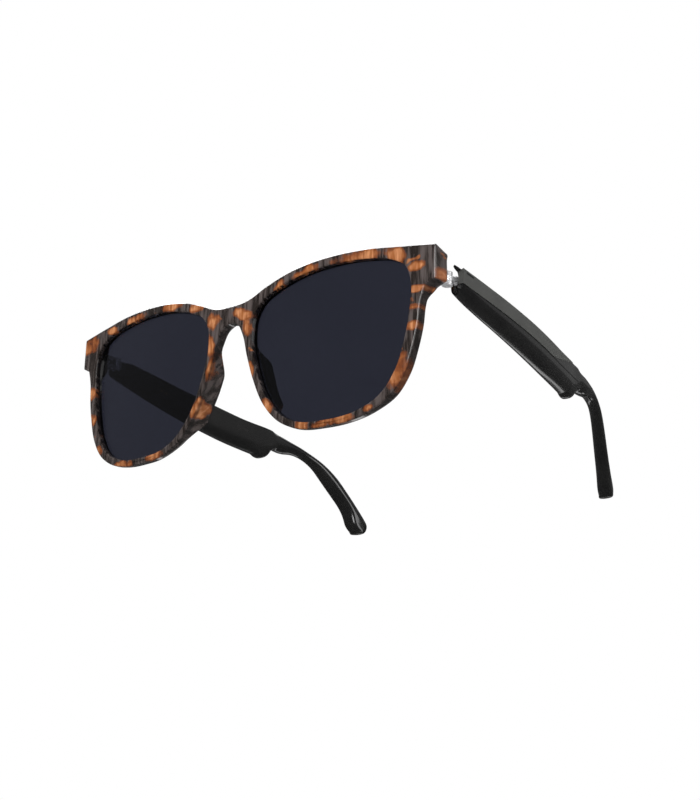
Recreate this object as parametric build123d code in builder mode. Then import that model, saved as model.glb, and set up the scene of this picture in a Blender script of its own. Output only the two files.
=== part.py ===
"""Audio smart glasses: a tortoiseshell front with dark lenses, and two folding temples full of electronics.

Millimetres. +X is the wearer's left, +Y runs from the front towards the ears, +Z is up. The glasses stand
open on a table, on the two rims and the two ear hooks, with the origin under the middle of their box.
"depth" below means the distance behind the front's foremost line, and left pieces are mirrored for the right.
"""

from build123d import *
import math
import os

os.makedirs("parts", exist_ok=True)

# ---- Driving dimensions -----------------------------------------------------------------------------
FRONT_Y = -70.95            # row Y of the front's foremost line, half the overall length
LEAN = 1.8                  # degrees the front leans back
BASE_RADIUS = 424.0         # curve of the front, seen from above
RIM_DEPTH = 4.4             # front to back of a rim
LENS_THICKNESS = 2.0
LENS_SETBACK = 1.2          # lens front behind the rim front
GROOVE = 0.9                # how far the lens edge sits inside the rim

END_FRONT_X = 72.6          # outer corner of the front face
END_BACK_X = 73.9
END_BACK_DEPTH = 12.8
END_INNER_X = 65.4

HINGE_X = 69.2
HINGE_DEPTH = 19.6
HINGE_BOTTOM = 41.6
HINGE_TOP = 45.8
KNUCKLE_RADIUS = 1.6
PIN_RADIUS = 0.6
PIN_CLEARANCE = 0.05
KNUCKLE_GAP = 0.08

TEMPLE_X = 71.25            # mid-line of the straight front part of the temple
BEND_START = 40.0
BEND_RADIUS = 320.0         # the temple bows inwards, seen from above
HOOK_BULGE = 1.45           # the hook starts further out than that arc, and turns in to its tip
HOOK_TURN = 2.7
TEMPLE_THICKNESS = 5.7
HOOK_THICKNESS = 3.9
TIP_THICKNESS = 4.8
WALL = 1.4                  # outer wall
COVER = 1.0                 # inner cover
PANEL = 0.6                 # outer panel
PANEL_DROP = 5.3            # height of the outer panel
TEMPLE_FRONT = 17.0
POCKET_END = 21.9
BAY_START = 26.3
BAY_END = 91.5
BAY_LEDGE = 1.1             # shell above and below the bay
FIT = 0.05

# ---- Planes -----------------------------------------------------------------------------------------
SIDE = Plane(origin=(0, FRONT_Y, 0), x_dir=(0, 1, 0), z_dir=(1, 0, 0))
PLAN = Plane(origin=(0, FRONT_Y, 0), x_dir=(1, 0, 0), z_dir=(0, 0, 1))
lean = math.radians(LEAN)
FACE = Plane(origin=(0, FRONT_Y, 0), x_dir=(1, 0, 0), z_dir=(0, -math.cos(lean), math.sin(lean)))
BROW = Plane(origin=(0, FRONT_Y, 0), x_dir=(1, 0, 0), z_dir=(0, math.sin(lean), math.cos(lean)))


# ---- The temple's shape as formulas -----------------------------------------------------------------
def smoothstep(value, start, end):
    """0 before start, 1 after end, and an S-shaped rise between them."""
    share = min(1.0, max(0.0, (value - start) / (end - start)))
    return share * share * (3 - 2 * share)


def middle_x(depth):
    """X of the temple's mid-line: straight, then a wide arc inwards with a turn at the hook."""
    arc = max(0.0, depth - BEND_START) ** 2 / (2 * BEND_RADIUS)
    return TEMPLE_X - arc + HOOK_BULGE * smoothstep(depth, 92, 110) - HOOK_TURN * smoothstep(depth, 115, 139)


def half_thickness(depth):
    """Half the temple's thickness: full along the body, slim at the hook, fuller at the tip."""
    slimming = (TEMPLE_THICKNESS - HOOK_THICKNESS) * smoothstep(depth, 94, 120)
    tip_share = min(1.0, max(0.0, (depth - 118) / 20))
    return (TEMPLE_THICKNESS - slimming + tip_share * (TIP_THICKNESS - HOOK_THICKNESS)) / 2


def top_z(depth):
    """Height of the temple's upper edge."""
    run = depth - TEMPLE_FRONT
    return 47.4 - 0.1215 * run - 0.00033 * run * run


def bottom_z(depth):
    """Height of the temple's lower edge, as far as the speaker bump."""
    run = depth - 20.0
    return 40.0 - 0.262 * run + 0.0008 * run * run


def middle_z(depth):
    return (top_z(depth) + bottom_z(depth)) / 2


def station(depth):
    """A plane on the temple's mid-line: x along the temple, y up, z outwards."""
    step = 0.5
    along = Vector(
        middle_x(depth + step) - middle_x(depth - step),
        2 * step,
        middle_z(depth + step) - middle_z(depth - step),
    ).normalized()
    out = (Vector(1, 0, 0) - along * along.X).normalized()
    return Plane(origin=(middle_x(depth), FRONT_Y + depth, middle_z(depth)), x_dir=along, z_dir=out)


def export_pair(piece, name):
    """Writes the left piece and its mirror image, the right one."""
    piece.part.label = f"{name}_left"
    export_step(piece.part, f"parts/{name}_left.step")
    with BuildPart() as twin:
        mirror(piece.part, about=Plane.YZ)
    twin.part.label = f"{name}_right"
    export_step(twin.part, f"parts/{name}_right.step")


def export_both_sides(piece, name):
    """Writes one node that holds the left pieces and their mirror images."""
    with BuildPart() as both:
        add(piece.part)
        mirror(piece.part, about=Plane.YZ)
    both.part.label = name
    export_step(both.part, f"parts/{name}.step")


# ---- Front frame ------------------------------------------------------------------------------------
LENS_OUTLINE = [
    (9.0, 34.5), (9.5, 39.4), (12.0, 43.6), (18.0, 46.9), (27.0, 49.5), (38.0, 50.6), (50.0, 50.0),
    (58.5, 48.2), (63.3, 45.3), (65.2, 40.0), (64.9, 32.0), (63.2, 22.0), (60.4, 13.5), (55.5, 7.0),
    (47.5, 3.2), (37.0, 2.2), (28.0, 3.0), (21.5, 6.2), (16.0, 12.3), (11.6, 22.0), (9.0, 34.5),
]
BROW_LINE = [(0, 45.0), (7.0, 45.7), (13.5, 48.4), (22.0, 51.3), (31.0, 52.9), (40.0, 53.4), (50.0, 53.1),
             (60.0, 51.9), (END_FRONT_X, 50.1)]
CHEEK_LINE = [(69.9, 38.6), (68.3, 33.5), (67.5, 26.8), (66.1, 20.5), (63.6, 13.0), (59.0, 6.4), (52.5, 2.3),
              (45.0, 0.4), (37.0, 0.0)]
NASAL_LINE = [(37.0, 0.0), (28.0, 0.8), (20.5, 4.3), (14.8, 10.3), (10.4, 18.9), (7.4, 27.4), (5.2, 34.8),
              (3.2, 38.2), (0, 39.4)]


def arc_chain(points):
    """Arcs through every three points, each starting where the last one ends."""
    for first in range(0, len(points) - 2, 2):
        ThreePointArc(*points[first:first + 3])


def curved_slab(front_setback, thickness):
    """The room between two upright cylinders, which gives the front and the lenses their curve."""
    with BuildPart() as slab:
        with BuildSketch(BROW.offset(-5)):
            with Locations((0, BASE_RADIUS)):
                Circle(BASE_RADIUS - front_setback)
                Circle(BASE_RADIUS - front_setback - thickness, mode=Mode.SUBTRACT)
            Rectangle(160, 120, mode=Mode.INTERSECT)
        extrude(amount=70)
    return slab.part


front_slab = curved_slab(0, RIM_DEPTH)
groove_slab = curved_slab(LENS_SETBACK - FIT, LENS_THICKNESS + 2 * FIT)
lens_slab = curved_slab(LENS_SETBACK, LENS_THICKNESS)

with BuildPart() as rims:
    with BuildSketch(FACE.offset(5)):
        with BuildLine():
            arc_chain(BROW_LINE)
            Line(BROW_LINE[-1], (END_FRONT_X, 39.9))
            Line((END_FRONT_X, 39.9), CHEEK_LINE[0])
            arc_chain(CHEEK_LINE)
            arc_chain(NASAL_LINE)
            Line(NASAL_LINE[-1], BROW_LINE[0])
        make_face()
        with BuildLine():
            arc_chain(LENS_OUTLINE)
        make_face(mode=Mode.SUBTRACT)
    extrude(amount=-25)
    add(front_slab, mode=Mode.INTERSECT)

with BuildPart() as end_piece:
    with BuildSketch(Plane(origin=(0, FRONT_Y + 6.6, 0), x_dir=(1, 0, 0), z_dir=(0, -1, 0))):
        Polygon((END_INNER_X, 40.2), (END_FRONT_X + 0.1, 39.8), (END_FRONT_X + 0.1, 50.2),
                (END_INNER_X, 50.0), align=None)
    with BuildSketch(Plane(origin=(0, FRONT_Y + END_BACK_DEPTH, 0), x_dir=(1, 0, 0), z_dir=(0, -1, 0))):
        Polygon((END_INNER_X + 0.8, 40.0), (END_BACK_X, 39.7), (END_BACK_X, 45.6),
                (END_INNER_X + 0.8, 47.4), align=None)
    loft()

with BuildPart() as nose_pad:
    for pad_depth, centre_x, centre_z, length, width, turn in [
        (2.6, 9.2, 25.4, 19.5, 3.4, 18.0),
        (6.0, 10.2, 25.4, 17.0, 3.6, 17.0),
        (9.0, 12.0, 25.0, 11.0, 2.4, 15.0),
    ]:
        with BuildSketch(Plane(origin=(0, FRONT_Y + pad_depth, 0), x_dir=(1, 0, 0), z_dir=(0, -1, 0))):
            with Locations(Location((centre_x, centre_z, 0), turn)):
                Ellipse(width / 2, length / 2)
    loft()


def lens_prism(grow):
    """The lens outline, grown by the given amount, cut to a prism through the front."""
    with BuildPart() as prism:
        with BuildSketch(FACE.offset(5)):
            with BuildLine():
                arc_chain(LENS_OUTLINE)
            make_face()
            if grow:
                offset(amount=grow)
        extrude(amount=-25)
    return prism.part


with BuildPart() as lens_groove:
    add(lens_prism(GROOVE + FIT))
    add(groove_slab, mode=Mode.INTERSECT)

with BuildPart() as opening_cut:
    with BuildSketch(FACE.offset(5)):
        with BuildLine():
            arc_chain(LENS_OUTLINE)
        make_face()
    extrude(amount=-11.6)

LEAF_FRONT = 8.4
LEAF_SLOT_BACK = 16.0       # clear of the end piece's back
LEAF_X = HINGE_X
LEAF_WIDTH = 2.4
LEAF_SCREW_DEPTH = 10.6
LEAF_SCREW_TIP_X = 71.6
INSIDE_X = 60.0             # clear of the temple's inner side, where cuts from that side start
HEAD_RADIUS = 1.0
HEAD_HEIGHT = 0.6
SHANK_RADIUS = 0.5
leaf_height = HINGE_TOP - HINGE_BOTTOM
leaf_middle_z = (HINGE_TOP + HINGE_BOTTOM) / 2

with BuildPart() as front_half:
    add(rims.part)
    add(end_piece.part)
    add(nose_pad.part)
    add(opening_cut.part, mode=Mode.SUBTRACT)
    add(lens_groove.part, mode=Mode.SUBTRACT)
    # Flats under the rims, which the glasses rest on.
    with BuildSketch(PLAN):
        Rectangle(300, 60)
    extrude(amount=-5, mode=Mode.SUBTRACT)
    # Slot for the hinge leaf, open at the back of the end piece.
    with BuildSketch(PLAN.offset(HINGE_BOTTOM)):
        with Locations((LEAF_X, (LEAF_FRONT + LEAF_SLOT_BACK) / 2)):
            Rectangle(LEAF_WIDTH, LEAF_SLOT_BACK - LEAF_FRONT)
    extrude(amount=leaf_height, mode=Mode.SUBTRACT)
    # Screw hole, from the inner side of the end piece.
    with BuildSketch(SIDE.offset(INSIDE_X)):
        with Locations((LEAF_SCREW_DEPTH, leaf_middle_z)):
            Circle(SHANK_RADIUS)
    extrude(amount=LEAF_SCREW_TIP_X + 0.2 - INSIDE_X, mode=Mode.SUBTRACT)
    with BuildSketch(SIDE.offset(INSIDE_X)):
        with Locations((LEAF_SCREW_DEPTH, leaf_middle_z)):
            Circle(HEAD_RADIUS)
    extrude(amount=END_INNER_X + HEAD_HEIGHT + 0.4 - INSIDE_X, mode=Mode.SUBTRACT)

with BuildPart() as front_frame:
    add(front_half.part)
    mirror(front_half.part, about=Plane.YZ)
front_frame.part.label = "front_frame"
export_step(front_frame.part, "parts/front_frame.step")

with BuildPart() as lens:
    add(lens_prism(GROOVE))
    add(lens_slab, mode=Mode.INTERSECT)
export_pair(lens, "lens")

# ---- Front hinge leaves, their screws and the hinge pins ---------------------------------------------
LUG_HEIGHT = 1.25
lug_levels = [HINGE_BOTTOM, HINGE_TOP - LUG_HEIGHT]

with BuildPart() as front_hinge:
    with BuildSketch(PLAN.offset(HINGE_BOTTOM)):
        with Locations((LEAF_X, (LEAF_FRONT + END_BACK_DEPTH + 1.2) / 2)):
            Rectangle(LEAF_WIDTH, END_BACK_DEPTH + 1.2 - LEAF_FRONT)
    extrude(amount=leaf_height)
    for level in lug_levels:
        with BuildSketch(PLAN.offset(level)):
            with Locations((LEAF_X, (END_BACK_DEPTH + HINGE_DEPTH) / 2)):
                Rectangle(LEAF_WIDTH, HINGE_DEPTH - END_BACK_DEPTH)
            with Locations((HINGE_X, HINGE_DEPTH)):
                Circle(KNUCKLE_RADIUS)
        extrude(amount=LUG_HEIGHT)
    with BuildSketch(PLAN.offset(HINGE_BOTTOM)):
        with Locations((HINGE_X, HINGE_DEPTH)):
            Circle(PIN_RADIUS + PIN_CLEARANCE)
    extrude(amount=leaf_height, mode=Mode.SUBTRACT)
    with BuildSketch(PLAN.offset(HINGE_TOP - 0.5)):
        with Locations((HINGE_X, HINGE_DEPTH)):
            Circle(HEAD_RADIUS + PIN_CLEARANCE)
    extrude(amount=0.5, mode=Mode.SUBTRACT)
    with BuildSketch(SIDE.offset(INSIDE_X)):
        with Locations((LEAF_SCREW_DEPTH, leaf_middle_z)):
            Circle(SHANK_RADIUS)
    extrude(amount=20, mode=Mode.SUBTRACT)
export_pair(front_hinge, "front_hinge")

with BuildPart() as front_hinge_screw:
    with BuildSketch(SIDE.offset(END_INNER_X + 0.5)):
        with Locations((LEAF_SCREW_DEPTH, leaf_middle_z)):
            Circle(HEAD_RADIUS)
    extrude(amount=0.5)
    with BuildSketch(SIDE.offset(END_INNER_X + 1.0)):
        with Locations((LEAF_SCREW_DEPTH, leaf_middle_z)):
            Circle(SHANK_RADIUS)
    extrude(amount=LEAF_SCREW_TIP_X - END_INNER_X - 1.0)
export_both_sides(front_hinge_screw, "front_hinge_screws")

with BuildPart() as hinge_pin:
    with BuildSketch(PLAN.offset(HINGE_BOTTOM)):
        with Locations((HINGE_X, HINGE_DEPTH)):
            Circle(PIN_RADIUS)
    extrude(amount=leaf_height - 0.05)
    with BuildSketch(PLAN.offset(HINGE_TOP - 0.5)):
        with Locations((HINGE_X, HINGE_DEPTH)):
            Circle(HEAD_RADIUS)
    extrude(amount=0.45)
    with BuildSketch(PLAN.offset(HINGE_TOP - 0.2)):
        with Locations((HINGE_X, HINGE_DEPTH)):
            Rectangle(0.25, 2 * HEAD_RADIUS)
    extrude(amount=0.2, mode=Mode.SUBTRACT)
export_both_sides(hinge_pin, "hinge_pins")

# ---- Temple shell -----------------------------------------------------------------------------------
BODY_STATIONS = [12, 28, BEND_START, 52, 66, 80, 90, 98]
WHOLE_STATIONS = BODY_STATIONS + [106, 114, 122, 130, 138, 146]
HOOK_OUTLINE = [            # corners between the tangent arcs, from the top edge round the tip to the bump
    (120.0, 30.2), (130.6, 21.0), (136.2, 13.0), (141.0, 5.6), (136.6, 0.0), (132.4, 4.6), (130.0, 13.2),
    (121.6, 23.9), (107.5, 29.6), (101.5, 29.2), (96.5, 26.6), (90.5, 25.5),
]


def band(outer_skin, inner_skin, stations=BODY_STATIONS):
    """The temple seen from above, thinned by a skin on its outer and its inner side, as a tall prism."""
    with BuildPart() as strip:
        with BuildSketch(PLAN.offset(-5)):
            with BuildLine():
                outer = [(middle_x(d) + half_thickness(d) - outer_skin, d) for d in stations]
                inner = [(middle_x(d) - half_thickness(d) + inner_skin, d) for d in stations]
                Spline(outer)
                Line(outer[-1], inner[-1])
                Spline(inner)
                Line(inner[0], outer[0])
            make_face()
        extrude(amount=60)
    return strip.part


def arc_along(edge_z, start, end, drop):
    """Three points of a long edge line of the temple, moved down by drop."""
    middle = (start + end) / 2
    return [(d, edge_z(d) - drop) for d in (start, middle, end)]


def bay_slab(start, end, ledge, outer_skin, inner_skin, corner, slant=0.0):
    """A curved slab of the temple between two depths, a ledge in from its upper and lower edges."""
    strip = band(outer_skin, inner_skin)
    with BuildPart() as slab:
        with BuildSketch(SIDE.offset(40)):
            with BuildLine():
                upper = arc_along(top_z, start - slant, end, ledge)
                lower = arc_along(bottom_z, start + slant, end, -ledge)
                ThreePointArc(*upper)
                Line(upper[2], lower[2])
                ThreePointArc(*lower)
                Line(lower[0], upper[0])
            make_face()
            fillet(vertices(), radius=corner)
        extrude(amount=40)
        add(strip, mode=Mode.INTERSECT)
    return slab.part


full_band = band(0, 0, WHOLE_STATIONS)
with BuildPart() as temple_blank:
    with BuildSketch(SIDE.offset(40)):
        with BuildLine():
            edge = ThreePointArc(*arc_along(top_z, TEMPLE_FRONT, 103, 0))
            front_top = edge @ 0
            for corner in HOOK_OUTLINE:
                edge = TangentArc(edge @ 1, corner, tangent=edge % 1)
            keel_front = TEMPLE_FRONT + 1.5
            keel = ThreePointArc(edge @ 1, (55, bottom_z(55)), (keel_front, bottom_z(keel_front)))
            Line(keel @ 1, front_top)
        make_face()
    extrude(amount=40)
    add(full_band, mode=Mode.INTERSECT)

COVER_FRONT = 28.0
COVER_SLANT = 1.8
PANEL_FRONT = TEMPLE_FRONT + 3.0
PANEL_SHOULDER = 76.0
PANEL_TIP = 92.0
SLOT_FRONT = 23.4
SLOT_LENGTH = 4.4
SLOT_HEIGHT = 0.5
TAIL_END = 35.2
TAIL_BEND = 27.0
TAIL_X = 69.85
TAIL_THICKNESS = 1.1
TAIL_HALF_HEIGHT = 1.3
BOSS_DEPTHS = [30.6, 33.6]
BOSS_RADIUS = 1.3
TAIL_SCREW_LENGTH = 2.8
CONTACT_DEPTHS = [41.3, 43.6]
CONTACT_RADIUS = 0.7
MAGNET_DEPTHS = [38.9, 46.0]
SEAT_LENGTH = 11.0
SEAT_HEIGHT = 4.4
SEAT_SINK = 0.15
SPEAKER_DEPTH = 82.0
VENT_DEPTH = 81.7
SHELL_INNER_X = TEMPLE_X - TEMPLE_THICKNESS / 2
SHELL_OUTER_X = TEMPLE_X + TEMPLE_THICKNESS / 2


def tail_z(depth):
    """Height of the hinge tail's mid-line, which turns down with the temple."""
    return leaf_middle_z - 0.16 * max(0.0, depth - TAIL_BEND + 2.0)


bay = bay_slab(BAY_START, BAY_END, BAY_LEDGE, WALL, -1.0, 1.0)
cover_seat = bay_slab(COVER_FRONT, BAY_END + 0.8, BAY_LEDGE - 0.5, TEMPLE_THICKNESS - COVER, -1.0, 1.2,
                      slant=COVER_SLANT)
inner_cover_slab = bay_slab(COVER_FRONT + FIT, BAY_END + 0.8 - FIT, BAY_LEDGE - 0.5 + FIT,
                            TEMPLE_THICKNESS - COVER + FIT, 0.0, 1.2, slant=COVER_SLANT)


def panel_prism(gap):
    """The outer panel's side view as a prism: a long band that tapers to the upper edge near its end."""
    with BuildPart() as prism:
        with BuildSketch(SIDE.offset(INSIDE_X)):
            with BuildLine():
                upper = arc_along(top_z, PANEL_FRONT + gap, PANEL_TIP - 4 * gap, 0.5 + gap)
                lower = arc_along(top_z, PANEL_FRONT + gap, PANEL_SHOULDER - gap, PANEL_DROP - gap)
                ThreePointArc(*upper)
                Line(upper[2], lower[2])
                ThreePointArc(*lower)
                Line(lower[0], upper[0])
            make_face()
        extrude(amount=20)
    return prism.part


panel_skin = band(-1.0, TEMPLE_THICKNESS - PANEL)
panel_band = band(0.0, TEMPLE_THICKNESS - PANEL + FIT)
with BuildPart() as panel_seat:
    add(panel_prism(0.0))
    add(panel_skin, mode=Mode.INTERSECT)

with BuildPart() as temple_shell:
    add(temple_blank.part)
    add(bay, mode=Mode.SUBTRACT)
    add(cover_seat, mode=Mode.SUBTRACT)
    add(panel_seat.part, mode=Mode.SUBTRACT)
    # Hinge pocket, open at the front and on the inner side, and the slot for the hinge tail behind it.
    with BuildSketch(PLAN.offset(HINGE_BOTTOM - 0.35)):
        Polygon((INSIDE_X, 10), (SHELL_OUTER_X - 1.7, 10), (SHELL_OUTER_X - 1.7, POCKET_END),
                (INSIDE_X, POCKET_END), align=None)
    extrude(amount=leaf_height + 0.7, mode=Mode.SUBTRACT)
    with BuildSketch(PLAN.offset(leaf_middle_z - TAIL_HALF_HEIGHT)):
        Polygon((TAIL_X - 0.6, 20), (TAIL_X + TAIL_THICKNESS, 20), (TAIL_X + TAIL_THICKNESS, TAIL_BEND),
                (TAIL_X - 0.6, TAIL_BEND), align=None)
    extrude(amount=2 * TAIL_HALF_HEIGHT, mode=Mode.SUBTRACT)
    # Bosses for the two hinge screws.
    for boss_depth in BOSS_DEPTHS:
        with BuildSketch(SIDE.offset(TAIL_X + TAIL_THICKNESS)):
            with Locations((boss_depth, tail_z(boss_depth))):
                Circle(BOSS_RADIUS)
        extrude(amount=SHELL_OUTER_X - WALL + 0.1 - TAIL_X - TAIL_THICKNESS)
        with BuildSketch(SIDE.offset(TAIL_X)):
            with Locations((boss_depth, tail_z(boss_depth))):
                Circle(SHANK_RADIUS)
        extrude(amount=TAIL_SCREW_LENGTH + 0.1, mode=Mode.SUBTRACT)
    # Sound port of the microphone, from the slot in the panel into the bay.
    with BuildSketch(SIDE.offset(SHELL_OUTER_X - WALL - 0.5)):
        with Locations((SLOT_FRONT + SLOT_LENGTH - 0.2, top_z(27.6) - 1.5)):
            Circle(0.3)
    extrude(amount=WALL + 1.0, mode=Mode.SUBTRACT)
export_pair(temple_shell, "temple_shell")

# ---- Temple covers ----------------------------------------------------------------------------------
with BuildPart() as outer_panel:
    add(panel_prism(FIT))
    add(panel_band, mode=Mode.INTERSECT)
    with BuildSketch(SIDE.offset(SHELL_OUTER_X - PANEL - 0.5)):
        with Locations(Location((SLOT_FRONT + SLOT_LENGTH / 2, top_z(25.6) - 1.5, 0), -8.0)):
            SlotOverall(SLOT_LENGTH, SLOT_HEIGHT)
    extrude(amount=2, mode=Mode.SUBTRACT)
export_pair(outer_panel, "outer_panel")

with BuildPart() as inner_cover:
    add(inner_cover_slab)
    # Flat charging seat, a little sunk.
    with BuildSketch(SIDE.offset(INSIDE_X)):
        with Locations(Location((sum(CONTACT_DEPTHS) / 2, middle_z(sum(CONTACT_DEPTHS) / 2), 0), -9.5)):
            SlotOverall(SEAT_LENGTH, SEAT_HEIGHT)
    extrude(amount=SHELL_INNER_X + SEAT_SINK - INSIDE_X, mode=Mode.SUBTRACT)
    for contact_depth in CONTACT_DEPTHS:
        with BuildSketch(SIDE.offset(INSIDE_X)):
            with Locations((contact_depth, middle_z(contact_depth))):
                Circle(CONTACT_RADIUS)
        extrude(amount=12, mode=Mode.SUBTRACT)
    with BuildSketch(station(VENT_DEPTH).offset(-8)):
        with Locations((0, 1.6)):
            SlotOverall(5.5, 0.9)
    extrude(amount=10, mode=Mode.SUBTRACT)
export_pair(inner_cover, "inner_cover")

# ---- Temple hinge leaf and its screws ----------------------------------------------------------------
knuckle_bottom = HINGE_BOTTOM + LUG_HEIGHT + KNUCKLE_GAP
knuckle_height = leaf_height - 2 * LUG_HEIGHT - 2 * KNUCKLE_GAP
with BuildPart() as temple_hinge:
    with BuildSketch(PLAN.offset(knuckle_bottom)):
        with Locations((HINGE_X, HINGE_DEPTH)):
            Circle(KNUCKLE_RADIUS)
        Polygon((TAIL_X - 0.6, HINGE_DEPTH), (TAIL_X + TAIL_THICKNESS, HINGE_DEPTH),
                (TAIL_X + TAIL_THICKNESS, POCKET_END + 0.4), (TAIL_X - 0.6, POCKET_END + 0.4), align=None)
    extrude(amount=knuckle_height)
    with BuildSketch(SIDE.offset(TAIL_X)):
        Polygon((POCKET_END, leaf_middle_z - TAIL_HALF_HEIGHT),
                (TAIL_BEND - 1, leaf_middle_z - TAIL_HALF_HEIGHT),
                (TAIL_END, tail_z(TAIL_END) - 1.5), (TAIL_END, tail_z(TAIL_END) + 1.2),
                (TAIL_BEND - 1, leaf_middle_z + TAIL_HALF_HEIGHT - 0.2),
                (POCKET_END, leaf_middle_z + TAIL_HALF_HEIGHT), align=None)
    extrude(amount=TAIL_THICKNESS)
    with BuildSketch(PLAN.offset(knuckle_bottom)):
        with Locations((HINGE_X, HINGE_DEPTH)):
            Circle(PIN_RADIUS + PIN_CLEARANCE)
    extrude(amount=knuckle_height, mode=Mode.SUBTRACT)
    for boss_depth in BOSS_DEPTHS:
        with BuildSketch(SIDE.offset(TAIL_X)):
            with Locations((boss_depth, tail_z(boss_depth))):
                Circle(SHANK_RADIUS)
        extrude(amount=TAIL_THICKNESS, mode=Mode.SUBTRACT)
export_pair(temple_hinge, "temple_hinge")

with BuildPart() as temple_hinge_screw:
    for boss_depth in BOSS_DEPTHS:
        with BuildSketch(SIDE.offset(TAIL_X - 0.35)):
            with Locations((boss_depth, tail_z(boss_depth))):
                Circle(0.85)
        extrude(amount=0.35)
        with BuildSketch(SIDE.offset(TAIL_X)):
            with Locations((boss_depth, tail_z(boss_depth))):
                Circle(SHANK_RADIUS)
        extrude(amount=TAIL_SCREW_LENGTH)
export_pair(temple_hinge_screw, "temple_hinge_screws")

# ---- Electronics in the temple ----------------------------------------------------------------------
BOARD_DEPTH = 42.3
BOARD_LENGTH = 12.0
BATTERY_DEPTH = 61.0
BATTERY_LENGTH = 22.0
SPEAKER_LENGTH = 14.0
INNER_SKIN = TEMPLE_THICKNESS / 2 - COVER       # inner face of the cover, inwards from the mid-line


def block(depth, length, height, low, high, corner):
    """A rounded block on the temple's mid-line, between two distances outwards from it."""
    with BuildPart() as piece:
        with BuildSketch(station(depth).offset(low)):
            RectangleRounded(length, height, corner)
        extrude(amount=high - low)
    return piece


board = block(BOARD_DEPTH, BOARD_LENGTH, height=5.6, low=-0.8, high=-0.1, corner=0.6)
export_pair(board, "circuit_board")

with BuildPart() as board_chips:
    with BuildSketch(station(BOARD_DEPTH).offset(-0.1)):
        with Locations((-2.6, 0.2)):
            Rectangle(4.2, 4.2)
        with Locations((3.0, 0.9)):
            Rectangle(3.0, 2.4)
        with Locations((1.4, -1.7), (3.0, -1.7), (4.6, -1.7)):
            Rectangle(1.0, 0.6)
    extrude(amount=0.8)
export_pair(board_chips, "board_chips")

battery = block(BATTERY_DEPTH, BATTERY_LENGTH, height=7.0, low=-1.5, high=0.75, corner=1.2)
export_pair(battery, "battery")

speaker = block(SPEAKER_DEPTH, SPEAKER_LENGTH, height=7.2, low=-1.35, high=0.8, corner=1.6)
export_pair(speaker, "speaker")

with BuildPart() as speaker_mesh:
    with BuildSketch(station(VENT_DEPTH).offset(-INNER_SKIN + 0.02)):
        with Locations((0, 1.6)):
            SlotOverall(6.6, 1.7)
    extrude(amount=0.25)
export_pair(speaker_mesh, "speaker_mesh")

with BuildPart() as microphone_can:
    with BuildSketch(SIDE.offset(TEMPLE_X + 0.35)):
        with Locations((28.0, top_z(28.0) - 2.0)):
            RectangleRounded(2.4, 1.3, 0.2)
    extrude(amount=1.05)
export_pair(microphone_can, "microphone")

with BuildPart() as charging_contacts:
    for contact_depth in CONTACT_DEPTHS:
        with BuildSketch(SIDE.offset(SHELL_INNER_X)):
            with Locations((contact_depth, middle_z(contact_depth))):
                Circle(CONTACT_RADIUS)
        extrude(amount=COVER)
        with BuildSketch(SIDE.offset(SHELL_INNER_X + COVER)):
            with Locations((contact_depth, middle_z(contact_depth))):
                Circle(0.35)
        extrude(amount=0.85)
export_pair(charging_contacts, "charging_contacts")

with BuildPart() as charging_magnets:
    for magnet_depth in MAGNET_DEPTHS:
        with BuildSketch(SIDE.offset(SHELL_INNER_X + COVER + 0.08)):
            with Locations((magnet_depth, middle_z(magnet_depth))):
                Circle(1.1)
        extrude(amount=0.75)
export_pair(charging_magnets, "charging_magnets")

# Two thin films against the outer wall: the touch strip, and the ribbon from the board to the speaker.
with BuildPart() as touch_sensor:
    add(bay_slab(37.0, 60.0, 1.9, WALL + 0.05, TEMPLE_THICKNESS - WALL - 0.25, 0.8))
export_pair(touch_sensor, "touch_sensor")

with BuildPart() as flex_cable:
    add(bay_slab(48.6, 76.5, 4.3, WALL + 0.27, TEMPLE_THICKNESS - WALL - 0.42, 0.3))
export_pair(flex_cable, "flex_cable")
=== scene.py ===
"""Looks of a pair of audio smart glasses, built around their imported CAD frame.

The tortoiseshell front, the dark lenses and the two black temples are new surfaces, each a formula on a
grid of two parameters. The hinges, screws and electronics stay CAD nodes and only get their finishes.
Shapes are worked out in millimetres, with the depth measured back from the front's foremost line, and
are put into the frame's metres when their mesh is made.
"""

import logging
import math
from dataclasses import dataclass
from enum import Enum

import bmesh
import bpy
import numpy as np
from mathutils import Matrix, Vector


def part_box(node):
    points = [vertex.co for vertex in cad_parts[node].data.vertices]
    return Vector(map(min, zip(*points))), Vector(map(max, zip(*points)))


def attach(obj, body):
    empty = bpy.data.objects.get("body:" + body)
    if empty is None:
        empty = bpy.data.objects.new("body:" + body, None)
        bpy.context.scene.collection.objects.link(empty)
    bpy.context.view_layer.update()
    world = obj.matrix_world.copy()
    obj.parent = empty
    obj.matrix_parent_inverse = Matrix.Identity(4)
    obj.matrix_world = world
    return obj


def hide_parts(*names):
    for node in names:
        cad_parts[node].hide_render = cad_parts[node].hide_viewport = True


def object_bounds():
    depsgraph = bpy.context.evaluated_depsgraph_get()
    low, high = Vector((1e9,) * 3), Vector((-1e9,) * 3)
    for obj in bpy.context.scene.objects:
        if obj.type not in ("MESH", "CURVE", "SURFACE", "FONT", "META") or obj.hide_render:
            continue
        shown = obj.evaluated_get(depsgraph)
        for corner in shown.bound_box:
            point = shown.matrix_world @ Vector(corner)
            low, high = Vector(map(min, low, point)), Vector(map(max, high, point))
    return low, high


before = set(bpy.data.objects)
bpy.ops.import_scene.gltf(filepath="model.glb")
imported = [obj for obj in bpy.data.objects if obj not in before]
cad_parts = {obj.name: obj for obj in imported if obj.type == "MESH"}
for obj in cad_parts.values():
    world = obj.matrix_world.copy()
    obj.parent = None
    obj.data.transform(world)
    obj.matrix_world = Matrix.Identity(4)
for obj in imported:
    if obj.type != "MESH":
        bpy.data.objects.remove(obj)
CAD_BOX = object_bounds()

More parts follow.
